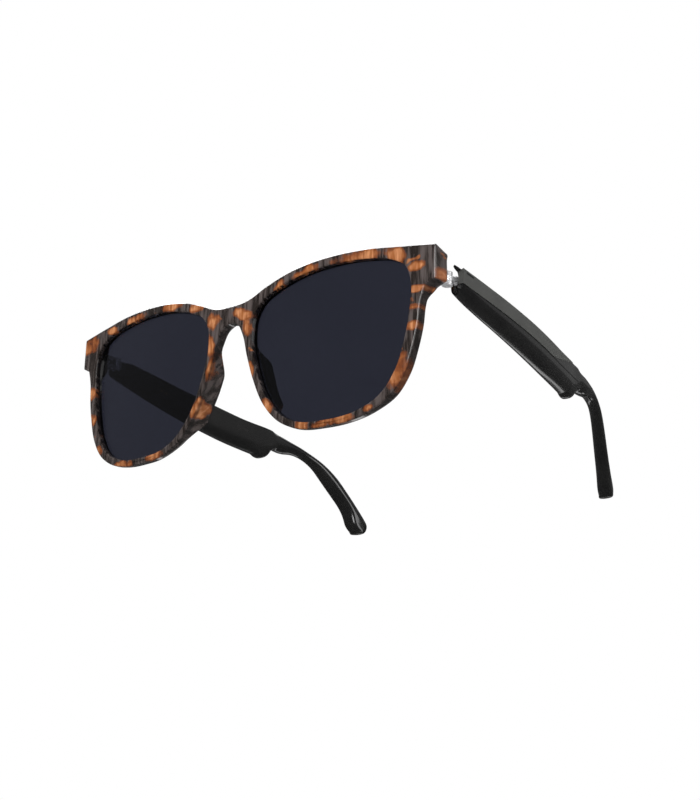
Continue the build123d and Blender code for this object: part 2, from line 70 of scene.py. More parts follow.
LOG = logging.getLogger("smart_glasses")
MM = 0.001
HINGE_DEPTH = 19.6
FRONT_Y = sum(corner.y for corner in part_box("hinge_pins")) / 2 / MM - HINGE_DEPTH
SMOOTH_ANGLE = math.radians(35)
CURVE_STEPS = 24

Points = np.ndarray
Section = tuple[Points, Points]


class Side(Enum):
    """The wearer's left or right, with the sign of its X."""

    LEFT = 1
    RIGHT = -1

    @property
    def word(self) -> str:
        """The side's name as the CAD nodes write it."""
        return self.name.lower()

    @property
    def body(self) -> str:
        """The CAD body of this side's temple."""
        return f"{self.word}_temple"


# ---- Curves and grids -------------------------------------------------------------------------------
def smoothstep(value: Points | float, low: float, high: float) -> Points:
    """Rises from 0 at low to 1 at high, flat at both ends: 3 s^2 - 2 s^3 of the clipped share s.

    Args:
        value: where to read the step.
        low: where it leaves 0.
        high: where it reaches 1.

    Returns:
        The step's height, as an array of the shape of value.
    """
    share = np.clip((np.asarray(value, float) - low) / (high - low), 0.0, 1.0)
    return share * share * (3.0 - 2.0 * share)


def smooth_line(
    knots: list[tuple[float, float]], closed: bool = False, steps: int = CURVE_STEPS
) -> Points:
    """A smooth curve through knots: cubic Hermite pieces whose slopes are those of a parabola through
    each knot and its two neighbours, over chord length.

    Args:
        knots: the points in order.
        closed: joins the last knot to the first, which then aren't the same point.
        steps: points on each piece.

    Returns:
        The curve's points, one row each.
    """
    line = np.asarray(knots, float)
    if closed:
        line = np.vstack([line[-2:], line, line[:3]])
    chord = np.linalg.norm(np.diff(line, axis=0), axis=1)
    slope = np.diff(line, axis=0) / chord[:, None]
    middle = (slope[:-1] * chord[1:, None] + slope[1:] * chord[:-1, None]) / (chord[:-1] + chord[1:])[:, None]
    tangent = np.vstack([2 * slope[0] - middle[0], middle, 2 * slope[-1] - middle[-1]])
    share = np.arange(steps) / steps
    s = share[None, :, None]
    width = chord[:, None, None]
    start, end = line[:-1, None], line[1:, None]
    curve = (
        (2 * s**3 - 3 * s**2 + 1) * start
        + (s**3 - 2 * s**2 + s) * width * tangent[:-1, None]
        + (3 * s**2 - 2 * s**3) * end
        + (s**3 - s**2) * width * tangent[1:, None]
    ).reshape(-1, line.shape[1])
    if closed:
        return curve[2 * steps : (len(knots) + 2) * steps + 1]
    return np.vstack([curve, line[-1]])


def tangent_arc(
    start: Points, heading: Points, end: tuple[float, float], steps: int = CURVE_STEPS
) -> Section:
    """The circular arc that leaves start along heading and runs to end.

    Args:
        start: first point.
        heading: unit direction at the start.
        end: last point.
        steps: points after the first.

    Returns:
        The arc's points, and the unit direction at its end.
    """
    chord = np.asarray(end, float) - start
    half = math.atan2(heading[0] * chord[1] - heading[1] * chord[0], heading @ chord)
    length = np.linalg.norm(chord)
    share = np.linspace(0, 1, steps + 1)
    reach = length * (np.sin(half * share) / math.sin(half) if abs(half) > 1e-6 else share)
    angle = math.atan2(heading[1], heading[0]) + half * share
    points = start + np.column_stack([reach * np.cos(angle), reach * np.sin(angle)])
    last = math.atan2(heading[1], heading[0]) + 2 * half
    return points, np.array([math.cos(last), math.sin(last)])


def lengths(curve: Points) -> Points:
    """The distance along a curve to each of its points."""
    return np.concatenate([[0.0], np.cumsum(np.linalg.norm(np.diff(curve, axis=0), axis=1))])


def matched(curve: Points, anchors: list[tuple[float, float]], counts: list[int]) -> Points:
    """Points spread along a curve, evenly by length between anchors.

    Args:
        curve: the curve's points.
        anchors: a point near the curve for each end of each stretch, in order.
        counts: how many steps each stretch has.

    Returns:
        One point for each step, and the last anchor's.
    """
    run = lengths(curve)
    gap = np.linalg.norm(curve[None] - np.asarray(anchors, float)[:, None], axis=2)
    stops = np.maximum.accumulate(run[gap.argmin(axis=1)])
    stretches = [
        np.linspace(low, high, count, endpoint=False) for low, high, count in zip(stops, stops[1:], counts)
    ]
    where = np.concatenate(stretches + [stops[-1:]])
    return np.column_stack([np.interp(where, run, curve[:, axis]) for axis in range(curve.shape[1])])


def clearance(points: Points, outline: Points) -> Points:
    """The distance from each point to the nearest stretch of an outline.

    Args:
        points: any array whose last axis is x, z.
        outline: the outline's points in order.

    Returns:
        An array of distances, one axis fewer.
    """
    flat = points.reshape(-1, 1, 2)
    start, along = outline[:-1][None], np.diff(outline, axis=0)[None]
    share = ((flat - start) * along).sum(2) / np.maximum((along**2).sum(2), 1e-12)
    foot = start + np.clip(share, 0, 1)[:, :, None] * along
    return np.linalg.norm(flat - foot, axis=2).min(axis=1).reshape(points.shape[:-1])


def setback(distance: Points, radius: float) -> Points:
    """How far a rounded edge falls back at a distance from it: radius less the height of a quarter
    circle, r - sqrt(r^2 - (r - distance)^2)."""
    inside = np.clip(radius - distance, 0.0, radius)
    return radius - np.sqrt(np.maximum(radius**2 - inside**2, 0.0))


def quad_faces(rows: int, columns: int, wrap: bool = False) -> Points:
    """The quads of a grid whose vertex number is row * columns + column.

    Args:
        rows: how many rows.
        columns: how many columns.
        wrap: joins the last column to the first.

    Returns:
        One row of four vertex numbers for each quad.
    """
    row = np.arange(rows - 1)[:, None]
    column = np.arange(columns if wrap else columns - 1)[None]
    following = (column + 1) % columns
    corners = [row * columns + column, row * columns + following]
    corners += [(row + 1) * columns + following, (row + 1) * columns + column]
    return np.stack([np.broadcast_to(c, (rows - 1, column.size)) for c in corners], axis=2).reshape(-1, 4)


def in_frame(points: Points) -> Points:
    """Points as x, depth, z in millimetres, turned into the frame's metres."""
    return (points.reshape(-1, 3) + np.array([0.0, FRONT_Y, 0.0])) * MM


def make_piece(name: str, points: Points, faces: Points, bevel: float = 0.0) -> bpy.types.Object:
    """A mesh object at the origin, its doubles merged and its faces turned outwards.

    Args:
        name: the piece's name.
        points: vertices in millimetres, as x, depth, z.
        faces: quads of vertex numbers.
        bevel: width in millimetres of a bevel on the sharp edges.

    Returns:
        The new object.
    """
    mesh = bpy.data.meshes.new(name)
    mesh.from_pydata(in_frame(points), [], faces.tolist(), shade_flat=False)
    work = bmesh.new()
    work.from_mesh(mesh)
    bmesh.ops.remove_doubles(work, verts=work.verts, dist=2e-6)
    loose = [v for v in work.verts if not v.link_faces]
    bmesh.ops.delete(work, geom=loose, context="VERTS")
    bmesh.ops.recalc_face_normals(work, faces=work.faces)
    work.to_mesh(mesh)
    work.free()
    mesh.set_sharp_from_angle(angle=SMOOTH_ANGLE)
    piece = bpy.data.objects.new(name, mesh)
    bpy.context.scene.collection.objects.link(piece)
    if bevel:
        rounding = piece.modifiers.new("rounded_edges", "BEVEL")
        rounding.width = bevel * MM
        rounding.segments = 2
        rounding.limit_method = "ANGLE"
        rounding.angle_limit = SMOOTH_ANGLE
    return piece


def plate(name: str, outer: Points, inner: Points, bevel: float = 0.0) -> bpy.types.Object:
    """A closed plate between two sheets of the same grid, joined all round their rims.

    Args:
        name: the piece's name.
        outer: rows x columns x 3 points of the one sheet.
        inner: the other sheet.
        bevel: width of the edge rounding in millimetres.

    Returns:
        The new object.
    """
    rows, columns = outer.shape[:2]
    number = np.arange(rows * columns).reshape(rows, columns)
    rim = np.concatenate([number[0], number[1:, -1], number[-1, -2::-1], number[-2::-1, 0]])
    wall = np.column_stack([rim[:-1], rim[1:], rim[1:] + rows * columns, rim[:-1] + rows * columns])
    sheet = quad_faces(rows, columns)
    faces = np.vstack([sheet, sheet[:, ::-1] + rows * columns, wall])
    return make_piece(name, np.concatenate([outer.reshape(-1, 3), inner.reshape(-1, 3)]), faces, bevel)


def mirrored(points: Points, side: Side) -> Points:
    """Left-hand points on the asked side."""
    return points * np.array([side.value, 1.0, 1.0])


# ---- Materials --------------------------------------------------------------------------------------
class Nodes:
    """Adds and links shader nodes in one tree, to keep the finishes short."""

    def __init__(self, tree: bpy.types.NodeTree) -> None:
        """Works in one tree.

        Args:
            tree: the node tree to fill.
        """
        self.tree = tree

    def add(self, kind: str, settings: dict | None = None, **inputs: object) -> bpy.types.Node:
        """A node with settings on itself and values or links on its inputs.

        Args:
            kind: the node's type, without its "ShaderNode" prefix.
            settings: attributes of the node.
            **inputs: for each input name, spaces written as "_", a value or the socket that feeds it.

        Returns:
            The new node.
        """
        node = self.tree.nodes.new(f"ShaderNode{kind}")
        for name, value in (settings or {}).items():
            setattr(node, name, value)
        for name, value in inputs.items():
            self.feed(node, name.replace("_", " "), value)
        return node

    def feed(self, node: bpy.types.Node, name: str | int, value: object) -> None:
        """Links a socket to an input, or sets the input's value."""
        socket = node.inputs[name]
        if isinstance(value, bpy.types.NodeSocket):
            self.tree.links.new(value, socket)
        else:
            socket.default_value = value

    def math(self, operation: str, first: object, second: object = 0.0, clamp: bool = False) -> object:
        """The output of a Math node."""
        node = self.add("Math", {"operation": operation, "use_clamp": clamp})
        self.feed(node, 0, first)
        self.feed(node, 1, second)
        return node.outputs[0]

    def blend(self, share: object, first: object, second: object) -> object:
        """The colour between two, by a share."""
        node = self.add("Mix", {"data_type": "RGBA"})
        self.feed(node, 0, share)
        self.feed(node, 6, first)
        self.feed(node, 7, second)
        return node.outputs[2]

    def ramp(self, value: object, low: float, high: float, start: float = 0.0, end: float = 1.0) -> object:
        """A smooth ramp of value from start at low to end at high."""
        settings = {"interpolation_type": "SMOOTHSTEP"}
        limits = {"From_Min": low, "From_Max": high, "To_Min": start, "To_Max": end}
        node = self.add("MapRange", settings, Value=value, **limits)
        return node.outputs[0]

    def group(self, tree: bpy.types.NodeTree, **inputs: object) -> bpy.types.Node:
        """A copy of a shared group with its own values."""
        node = self.tree.nodes.new("ShaderNodeGroup")
        node.node_tree = tree
        for name, value in inputs.items():
            self.feed(node, name.replace("_", " "), value)
        return node


def new_group(name: str, inputs: dict[str, float], outputs: list[str]) -> tuple[bpy.types.NodeTree, Nodes]:
    """An empty shader group with float sockets and Object coordinates as its way to place a pattern.

    Args:
        name: the group's name.
        inputs: each input's name and default value.
        outputs: the outputs' names.

    Returns:
        The group and its node helper.
    """
    tree = bpy.data.node_groups.new(name, "ShaderNodeTree")
    for label, value in inputs.items():
        tree.interface.new_socket(label, in_out="INPUT", socket_type="NodeSocketFloat").default_value = value
    for label in outputs:
        tree.interface.new_socket(label, in_out="OUTPUT", socket_type="NodeSocketFloat")
    return tree, Nodes(tree)


def surface_wear_group() -> bpy.types.NodeTree:
    """Handling marks: fine scratches, soft smudges and grain, as masks between 0 and 1.

    Scratches are a noise stretched a hundredfold along one direction and cut to thin lines; smudges are a
    broad noise; grain is a fine noise.

    Returns:
        The group, with outputs Scratches, Smudges and Grain.
    """
    outputs = ["Scratches", "Smudges", "Grain"]
    tree, kit = new_group("surface_wear", {"Scale": 400.0, "Stretch": 30.0}, outputs)
    entry = tree.nodes.new("NodeGroupInput")
    leave = tree.nodes.new("NodeGroupOutput")
    place = kit.add("TexCoord").outputs["Object"]
    turned = kit.add("Mapping", None, Vector=place, Rotation=(0.3, 0.9, 0.2))
    stretch = kit.add("CombineXYZ", None, X=1.0, Y=entry.outputs["Stretch"], Z=1.0)
    long_way = kit.add("VectorMath", {"operation": "MULTIPLY"})
    kit.feed(long_way, 0, turned.outputs[0])
    kit.feed(long_way, 1, stretch.outputs[0])
    streak = kit.add("TexNoise", None, Vector=long_way.outputs[0], Scale=entry.outputs["Scale"], Detail=2.0)
    broad = kit.add("TexNoise", None, Vector=place, Scale=kit.math("MULTIPLY", entry.outputs["Scale"], 0.25))
    grain = kit.add("TexNoise", None, Vector=place, Scale=kit.math("MULTIPLY", entry.outputs["Scale"], 8.0))
    kit.feed(leave, "Scratches", kit.ramp(streak.outputs[0], 0.63, 0.72))
    kit.feed(leave, "Smudges", kit.ramp(broad.outputs[0], 0.35, 0.7))
    kit.feed(leave, "Grain", grain.outputs[0])
    return tree


def tortoise_group() -> bpy.types.NodeTree:
    """Cloudy amber patches in dark acetate, as masks.

    Each patch is a hill in the piece's own "amber" attribute. Two noises roughen its edge, one of them
    drawn out into streaks, a third adds stray flecks, and a fine combed one varies the tones.

    Returns:
        The group, with outputs Rust (patch and margin), Amber (its middle) and Streaks (the tones).
    """
    tree, kit = new_group("tortoise_patches", {"Scale": 190.0, "Roughen": 1.0}, ["Rust", "Amber", "Streaks"])
    entry = tree.nodes.new("NodeGroupInput")
    leave = tree.nodes.new("NodeGroupOutput")
    place = kit.add("TexCoord").outputs["Object"]
    flat = kit.add("Mapping", None, Vector=place, Scale=(1.0, 0.45, 1.0), Rotation=(0.0, 0.35, 0.0))
    drawn = kit.add("Mapping", None, Vector=place, Scale=(1.7, 0.6, 0.7), Rotation=(0.0, 0.45, 0.0))
    hill = kit.add("Attribute", {"attribute_name": "amber"}).outputs["Fac"]
    edge = kit.add("TexNoise", None, Vector=flat.outputs[0], Scale=entry.outputs["Scale"], Detail=4.0)
    streak = kit.add("TexNoise", None, Vector=drawn.outputs[0], Scale=entry.outputs["Scale"], Detail=3.0)
    combed = kit.add("Mapping", None, Vector=place, Scale=(5.0, 1.2, 0.55), Rotation=(0.0, 0.12, 0.0))
    fine = kit.add("TexNoise", None, Vector=combed.outputs[0], Scale=entry.outputs["Scale"], Detail=3.0)
    fleck_scale = kit.math("MULTIPLY", entry.outputs["Scale"], 1.2)
    fleck = kit.add("TexNoise", None, Vector=flat.outputs[0], Scale=fleck_scale, Detail=2.0)
    edge_part = kit.math("MULTIPLY", edge.outputs[0], 4.6)
    streak_part = kit.math("MULTIPLY", streak.outputs[0], 3.2)
    rough = kit.math("ADD", edge_part, streak_part)
    rough = kit.math("MULTIPLY", kit.math("SUBTRACT", rough, 4.1), entry.outputs["Roughen"])
    level = kit.math("ADD", hill, rough)
    stray = kit.ramp(fleck.outputs[0], 0.67, 0.74)
    kit.feed(leave, "Rust", kit.math("MAXIMUM", kit.ramp(level, -0.9, 0.1), stray))
    middle = kit.ramp(level, -0.1, 0.8)
    kit.feed(leave, "Amber", kit.math("MAXIMUM", middle, kit.math("MULTIPLY", stray, 0.5)))
    kit.feed(leave, "Streaks", kit.ramp(fine.outputs[0], 0.38, 0.66))
    return tree


Colour = tuple[float, float, float]


def rgba(colour: Colour) -> tuple[float, float, float, float]:
    """A colour with full alpha."""
    return (*colour, 1.0)


@dataclass(frozen=True)
class Finish:
    """A plain finish: two tones mixed by smudges, scratches that dull it, and a fine grain."""

    name: str
    tone: Colour
    worn: Colour
    roughness: float
    roughness_swing: float = 0.08
    metallic: float = 0.0
    coat: float = 0.0
    specular: float = 0.5
    wear_scale: float = 400.0
    stretch: float = 30.0
    grain_depth: float = 0.004

    def material(self, wear: bpy.types.NodeTree) -> bpy.types.Material:
        """The finish as a material.

        Args:
            wear: the shared surface_wear group.

        Returns:
            The new material.
        """
        made = bpy.data.materials.new(self.name)
        made.use_nodes = True
        kit = Nodes(made.node_tree)
        shader = made.node_tree.nodes["Principled BSDF"]
        marks = kit.group(wear, Scale=self.wear_scale, Stretch=self.stretch)
        smudges = kit.math("MULTIPLY", marks.outputs["Smudges"], 0.7)
        share = kit.math("MAXIMUM", smudges, marks.outputs["Scratches"])
        kit.feed(shader, "Base Color", kit.blend(share, rgba(self.tone), rgba(self.worn)))
        low, high = self.roughness, self.roughness + self.roughness_swing
        kit.feed(shader, "Roughness", kit.ramp(share, 0.0, 1.0, low, high))
        depth = self.grain_depth * MM
        grain = kit.add("Bump", None, Height=marks.outputs["Grain"], Distance=depth, Strength=0.15)
        kit.feed(shader, "Normal", grain.outputs[0])
        shader.inputs["Metallic"].default_value = self.metallic
        shader.inputs["Coat Weight"].default_value = self.coat
        shader.inputs["Coat Roughness"].default_value = 0.04
        shader.inputs["Specular IOR Level"].default_value = self.specular
        return made


@dataclass(frozen=True)
class TortoiseFinish:
    """Polished tortoiseshell acetate: streaky dark brown, rust margins and amber patches, clear-coated.
    Painted shade: near black blended in where the shade attribute marks the lens openings' sides and the
    undersides.
    """

    name: str = "tortoise_acetate"
    ground: Colour = (0.016, 0.011, 0.009)
    ground_light: Colour = (0.092, 0.074, 0.070)
    # painted shade: the near black that stands in for the shadow on the lens openings' sides and the
    # undersides, not a colour of the acetate
    inside: Colour = (0.004, 0.003, 0.003)
    rust: Colour = (0.165, 0.042, 0.010)
    rust_light: Colour = (0.26, 0.075, 0.020)
    amber: Colour = (0.31, 0.098, 0.026)
    honey: Colour = (0.56, 0.240, 0.100)

    def material(self, wear: bpy.types.NodeTree, patches: bpy.types.NodeTree) -> bpy.types.Material:
        """The finish as a material.

        Args:
            wear: the shared surface_wear group.
            patches: the tortoise_patches group.

        Returns:
            The new material.
        """
        made = bpy.data.materials.new(self.name)
        made.use_nodes = True
        kit = Nodes(made.node_tree)
        shader = made.node_tree.nodes["Principled BSDF"]
        marks = kit.group(wear, Scale=300.0, Stretch=25.0)
        pattern = kit.group(patches, Scale=190.0, Roughen=1.0)
        streaks = pattern.outputs["Streaks"]
        dark = kit.blend(streaks, rgba(self.ground), rgba(self.ground_light))
        margin = kit.blend(streaks, rgba(self.rust), rgba(self.rust_light))
        middle = kit.blend(streaks, rgba(self.amber), rgba(self.honey))
        warm = kit.blend(pattern.outputs["Amber"], margin, middle)
        # painted shade: the pattern is blended towards the near-black inside colour by the shade attribute,
        # up to 92 percent
        shade = kit.add("Attribute", {"attribute_name": "shade"}).outputs["Fac"]
        lit = kit.blend(pattern.outputs["Rust"], dark, warm)
        kit.feed(shader, "Base Color", kit.blend(kit.math("MULTIPLY", shade, 0.92), lit, rgba(self.inside)))
        kit.feed(shader, "Roughness", kit.ramp(marks.outputs["Smudges"], 0.0, 1.0, 0.14, 0.24))
        ripple = kit.add("Bump", None, Height=marks.outputs["Smudges"], Distance=0.02 * MM, Strength=0.25)
        kit.feed(shader, "Normal", ripple.outputs[0])
        shader.inputs["Coat Weight"].default_value = 0.6
        shader.inputs["Coat Roughness"].default_value = 0.05
        return made


@dataclass(frozen=True)
class LensFinish:
    """Dark navy-grey sun lens: clear glass body with a deep tint, faintly smudged."""

    name: str = "dark_lens"
    tint: Colour = (0.0175, 0.0190, 0.0300)
    smudged: Colour = (0.0190, 0.0205, 0.0320)

    def material(self, wear: bpy.types.NodeTree) -> bpy.types.Material:
        """The finish as a material.

        Args:
            wear: the shared surface_wear group.

        Returns:
            The new material.
        """
        made = bpy.data.materials.new(self.name)
        made.use_nodes = True
        kit = Nodes(made.node_tree)
        shader = made.node_tree.nodes["Principled BSDF"]
        marks = kit.group(wear, Scale=120.0, Stretch=12.0)
        smudge = marks.outputs["Smudges"]
        kit.feed(shader, "Base Color", kit.blend(smudge, rgba(self.tint), rgba(self.smudged)))
        kit.feed(shader, "Roughness", kit.ramp(smudge, 0.0, 1.0, 0.015, 0.045))
        shader.inputs["Transmission Weight"].default_value = 1.0
        shader.inputs["IOR"].default_value = 1.5
        return made


BLACK_GLOSS = Finish("black_gloss", (0.0065, 0.0065, 0.0065), (0.010, 0.0098, 0.0095), 0.13, 0.07, coat=0.3,
                     grain_depth=0.0008)
POCKET_BLACK = Finish("pocket_black", (0.006, 0.006, 0.006), (0.010, 0.010, 0.010), 0.5, 0.1)
# Outer panel: partly its own grey and partly painted sheen, a lighter grey base colour standing in for the
# black gloss's reflection of the bright surroundings.
PANEL_GREY_AND_SHEEN = Finish("panel_grey", (0.070, 0.071, 0.067), (0.092, 0.093, 0.087), 0.30, 0.12,
                    grain_depth=0.006)
HINGE_STEEL = Finish("hinge_steel", (0.84, 0.84, 0.85), (0.72, 0.72, 0.74), 0.30, 0.10, metallic=0.45)
CONTACT_GOLD = Finish("contact_gold", (0.83, 0.62, 0.28), (0.70, 0.50, 0.22), 0.22, 0.12, metallic=1.0)
MESH_DARK = Finish("mesh_dark", (0.02, 0.02, 0.02), (0.045, 0.045, 0.045), 0.5, 0.2, metallic=0.6)
BOARD_GREEN = Finish("board_green", (0.02, 0.13, 0.06), (0.03, 0.19, 0.09), 0.4, 0.15)
CHIP_BLACK = Finish("chip_black", (0.02, 0.02, 0.02), (0.04, 0.04, 0.04), 0.5, 0.2)
BATTERY_FOIL = Finish("battery_foil", (0.62, 0.63, 0.65), (0.50, 0.51, 0.53), 0.35, 0.2, metallic=1.0)
SPEAKER_METAL = Finish("speaker_metal", (0.50, 0.50, 0.51), (0.38, 0.38, 0.39), 0.3, 0.2, metallic=1.0)
MAGNET_NICKEL = Finish("magnet_nickel", (0.66, 0.65, 0.62), (0.55, 0.54, 0.52), 0.15, 0.15, metallic=1.0)
FILM_AMBER = Finish("film_amber", (0.50, 0.22, 0.04), (0.62, 0.30, 0.07), 0.3, 0.15)

NODE_FINISHES = {
    "front_hinge": HINGE_STEEL,
    "front_hinge_screws": HINGE_STEEL,
    "hinge_pins": HINGE_STEEL,
    "temple_hinge": HINGE_STEEL,
    "temple_hinge_screws": HINGE_STEEL,
    "circuit_board": BOARD_GREEN,
    "board_chips": CHIP_BLACK,
    "battery": BATTERY_FOIL,
    "speaker": SPEAKER_METAL,
    "microphone": SPEAKER_METAL,
    "speaker_mesh": MESH_DARK,
    "charging_contacts": CONTACT_GOLD,
    "charging_magnets": MAGNET_NICKEL,
    "touch_sensor": FILM_AMBER,
    "flex_cable": FILM_AMBER,
}


class Wardrobe:
    """Makes each finish's material once and puts it on pieces."""

    def __init__(self) -> None:
        """Builds the shared groups."""
        self.wear = surface_wear_group()
        self.patches = tortoise_group()
        self.made: dict[str, bpy.types.Material] = {}

    def material(self, finish: Finish | TortoiseFinish | LensFinish) -> bpy.types.Material:
        """The material of a finish, made the first time it is asked for."""
        if finish.name not in self.made:
            groups = (self.wear, self.patches) if isinstance(finish, TortoiseFinish) else (self.wear,)
            self.made[finish.name] = finish.material(*groups)
        return self.made[finish.name]

    def dress(self, piece: bpy.types.Object, finish: Finish | TortoiseFinish | LensFinish) -> None:
        """Gives a piece one finish all over."""
        piece.data.materials.clear()
        piece.data.materials.append(self.material(finish))


# ---- Front and lenses -------------------------------------------------------------------------------
@dataclass(frozen=True)
class Patch:
    """An amber patch of the tortoiseshell: an ellipse in the front view, turned by an angle."""

    x: float
    z: float
    length: float
    height: float
    turn: float = 0.0
    peak: float = 1.0

    def hill(self, x: Points, z: Points) -> Points:
        """A dome that peaks at the patch's middle and is negative well outside: peak - r^2 for the
        elliptical radius r."""
        turn = math.radians(self.turn)
        along = (x - self.x) * math.cos(turn) + (z - self.z) * math.sin(turn)
        across = (z - self.z) * math.cos(turn) - (x - self.x) * math.sin(turn)
        return self.peak - (2 * along / self.length) ** 2 - (2 * across / self.height) ** 2


AMBER_PATCHES = [
    Patch(6.0, 41.0, 9.0, 3.0, -20), Patch(7.5, 37.0, 3.4, 6.0), Patch(9.0, 22.0, 2.6, 5.0, 15),
    Patch(16.0, 9.5, 3.4, 5.0, 30), Patch(19.5, 47.5, 5.0, 3.0, 35), Patch(29.0, 50.0, 8.0, 3.2, 15),
    Patch(48.0, 51.0, 17.0, 3.8, -3), Patch(60.5, 48.8, 9.0, 4.4, -30), Patch(67.3, 44.4, 4.6, 2.8),
    Patch(74.3, 41.6, 3.0, 6.0, 0, 0.2), Patch(67.6, 37.4, 7.0, 1.9), Patch(66.9, 31.8, 6.0, 1.9),
    Patch(65.6, 26.3, 6.0, 2.6), Patch(62.0, 13.6, 6.0, 9.5, -25), Patch(41.0, 1.2, 13.0, 2.8, 3),
    Patch(29.0, 1.9, 5.0, 3.6), Patch(52.0, 3.4, 3.0, 2.0, 20),
    Patch(-6.8, 41.5, 4.4, 6.2, 12), Patch(-8.0, 33.5, 3.2, 6.5, 12), Patch(-15.0, 48.5, 6.4, 3.6, -20),
    Patch(-26.0, 51.2, 8.0, 3.0, -5), Patch(-44.5, 51.3, 8.5, 2.8, 6), Patch(-70.0, 47.4, 9.0, 6.0, 10),
    Patch(-67.0, 29.5, 5.0, 4.0), Patch(-66.0, 20.3, 5.0, 4.4), Patch(-60.5, 8.0, 4.5, 4.0, -30),
    Patch(-46.0, 1.0, 9.0, 2.6, -6), Patch(-30.0, 2.0, 9.0, 2.8, 8), Patch(-13.0, 14.0, 2.6, 5.5, -20),
    Patch(-7.0, 25.5, 3.6, 9.0, -12), Patch(-10.5, 16.0, 4.0, 2.4), Patch(-57.0, 50.0, 5.0, 2.0, -10),
]


@dataclass(frozen=True)
class FrontCurve:
    """The upright cylinder that bends the front, leaning a little back."""

    base_radius: float = 424.0
    lean: float = math.tan(math.radians(1.8))

    def depth(self, x: Points, z: Points) -> Points:
        """Depth of the front's face: the cylinder's sagitta R - sqrt(R^2 - x^2), and the lean times z."""
        return self.base_radius - np.sqrt(self.base_radius**2 - x**2) + self.lean * z


LENS_OUTLINE = [
    (9.0, 34.5), (9.5, 39.4), (12.0, 43.6), (18.0, 46.9), (27.0, 49.5), (38.0, 50.6), (50.0, 50.0),
    (58.5, 48.2), (63.3, 45.3), (65.2, 40.0), (64.9, 32.0), (63.2, 22.0), (60.4, 13.5), (55.5, 7.0),
    (47.5, 3.2), (37.0, 2.2), (28.0, 3.0), (21.5, 6.2), (16.0, 12.3), (11.6, 22.0),
]
LENS_CURVE = smooth_line(LENS_OUTLINE, closed=True)


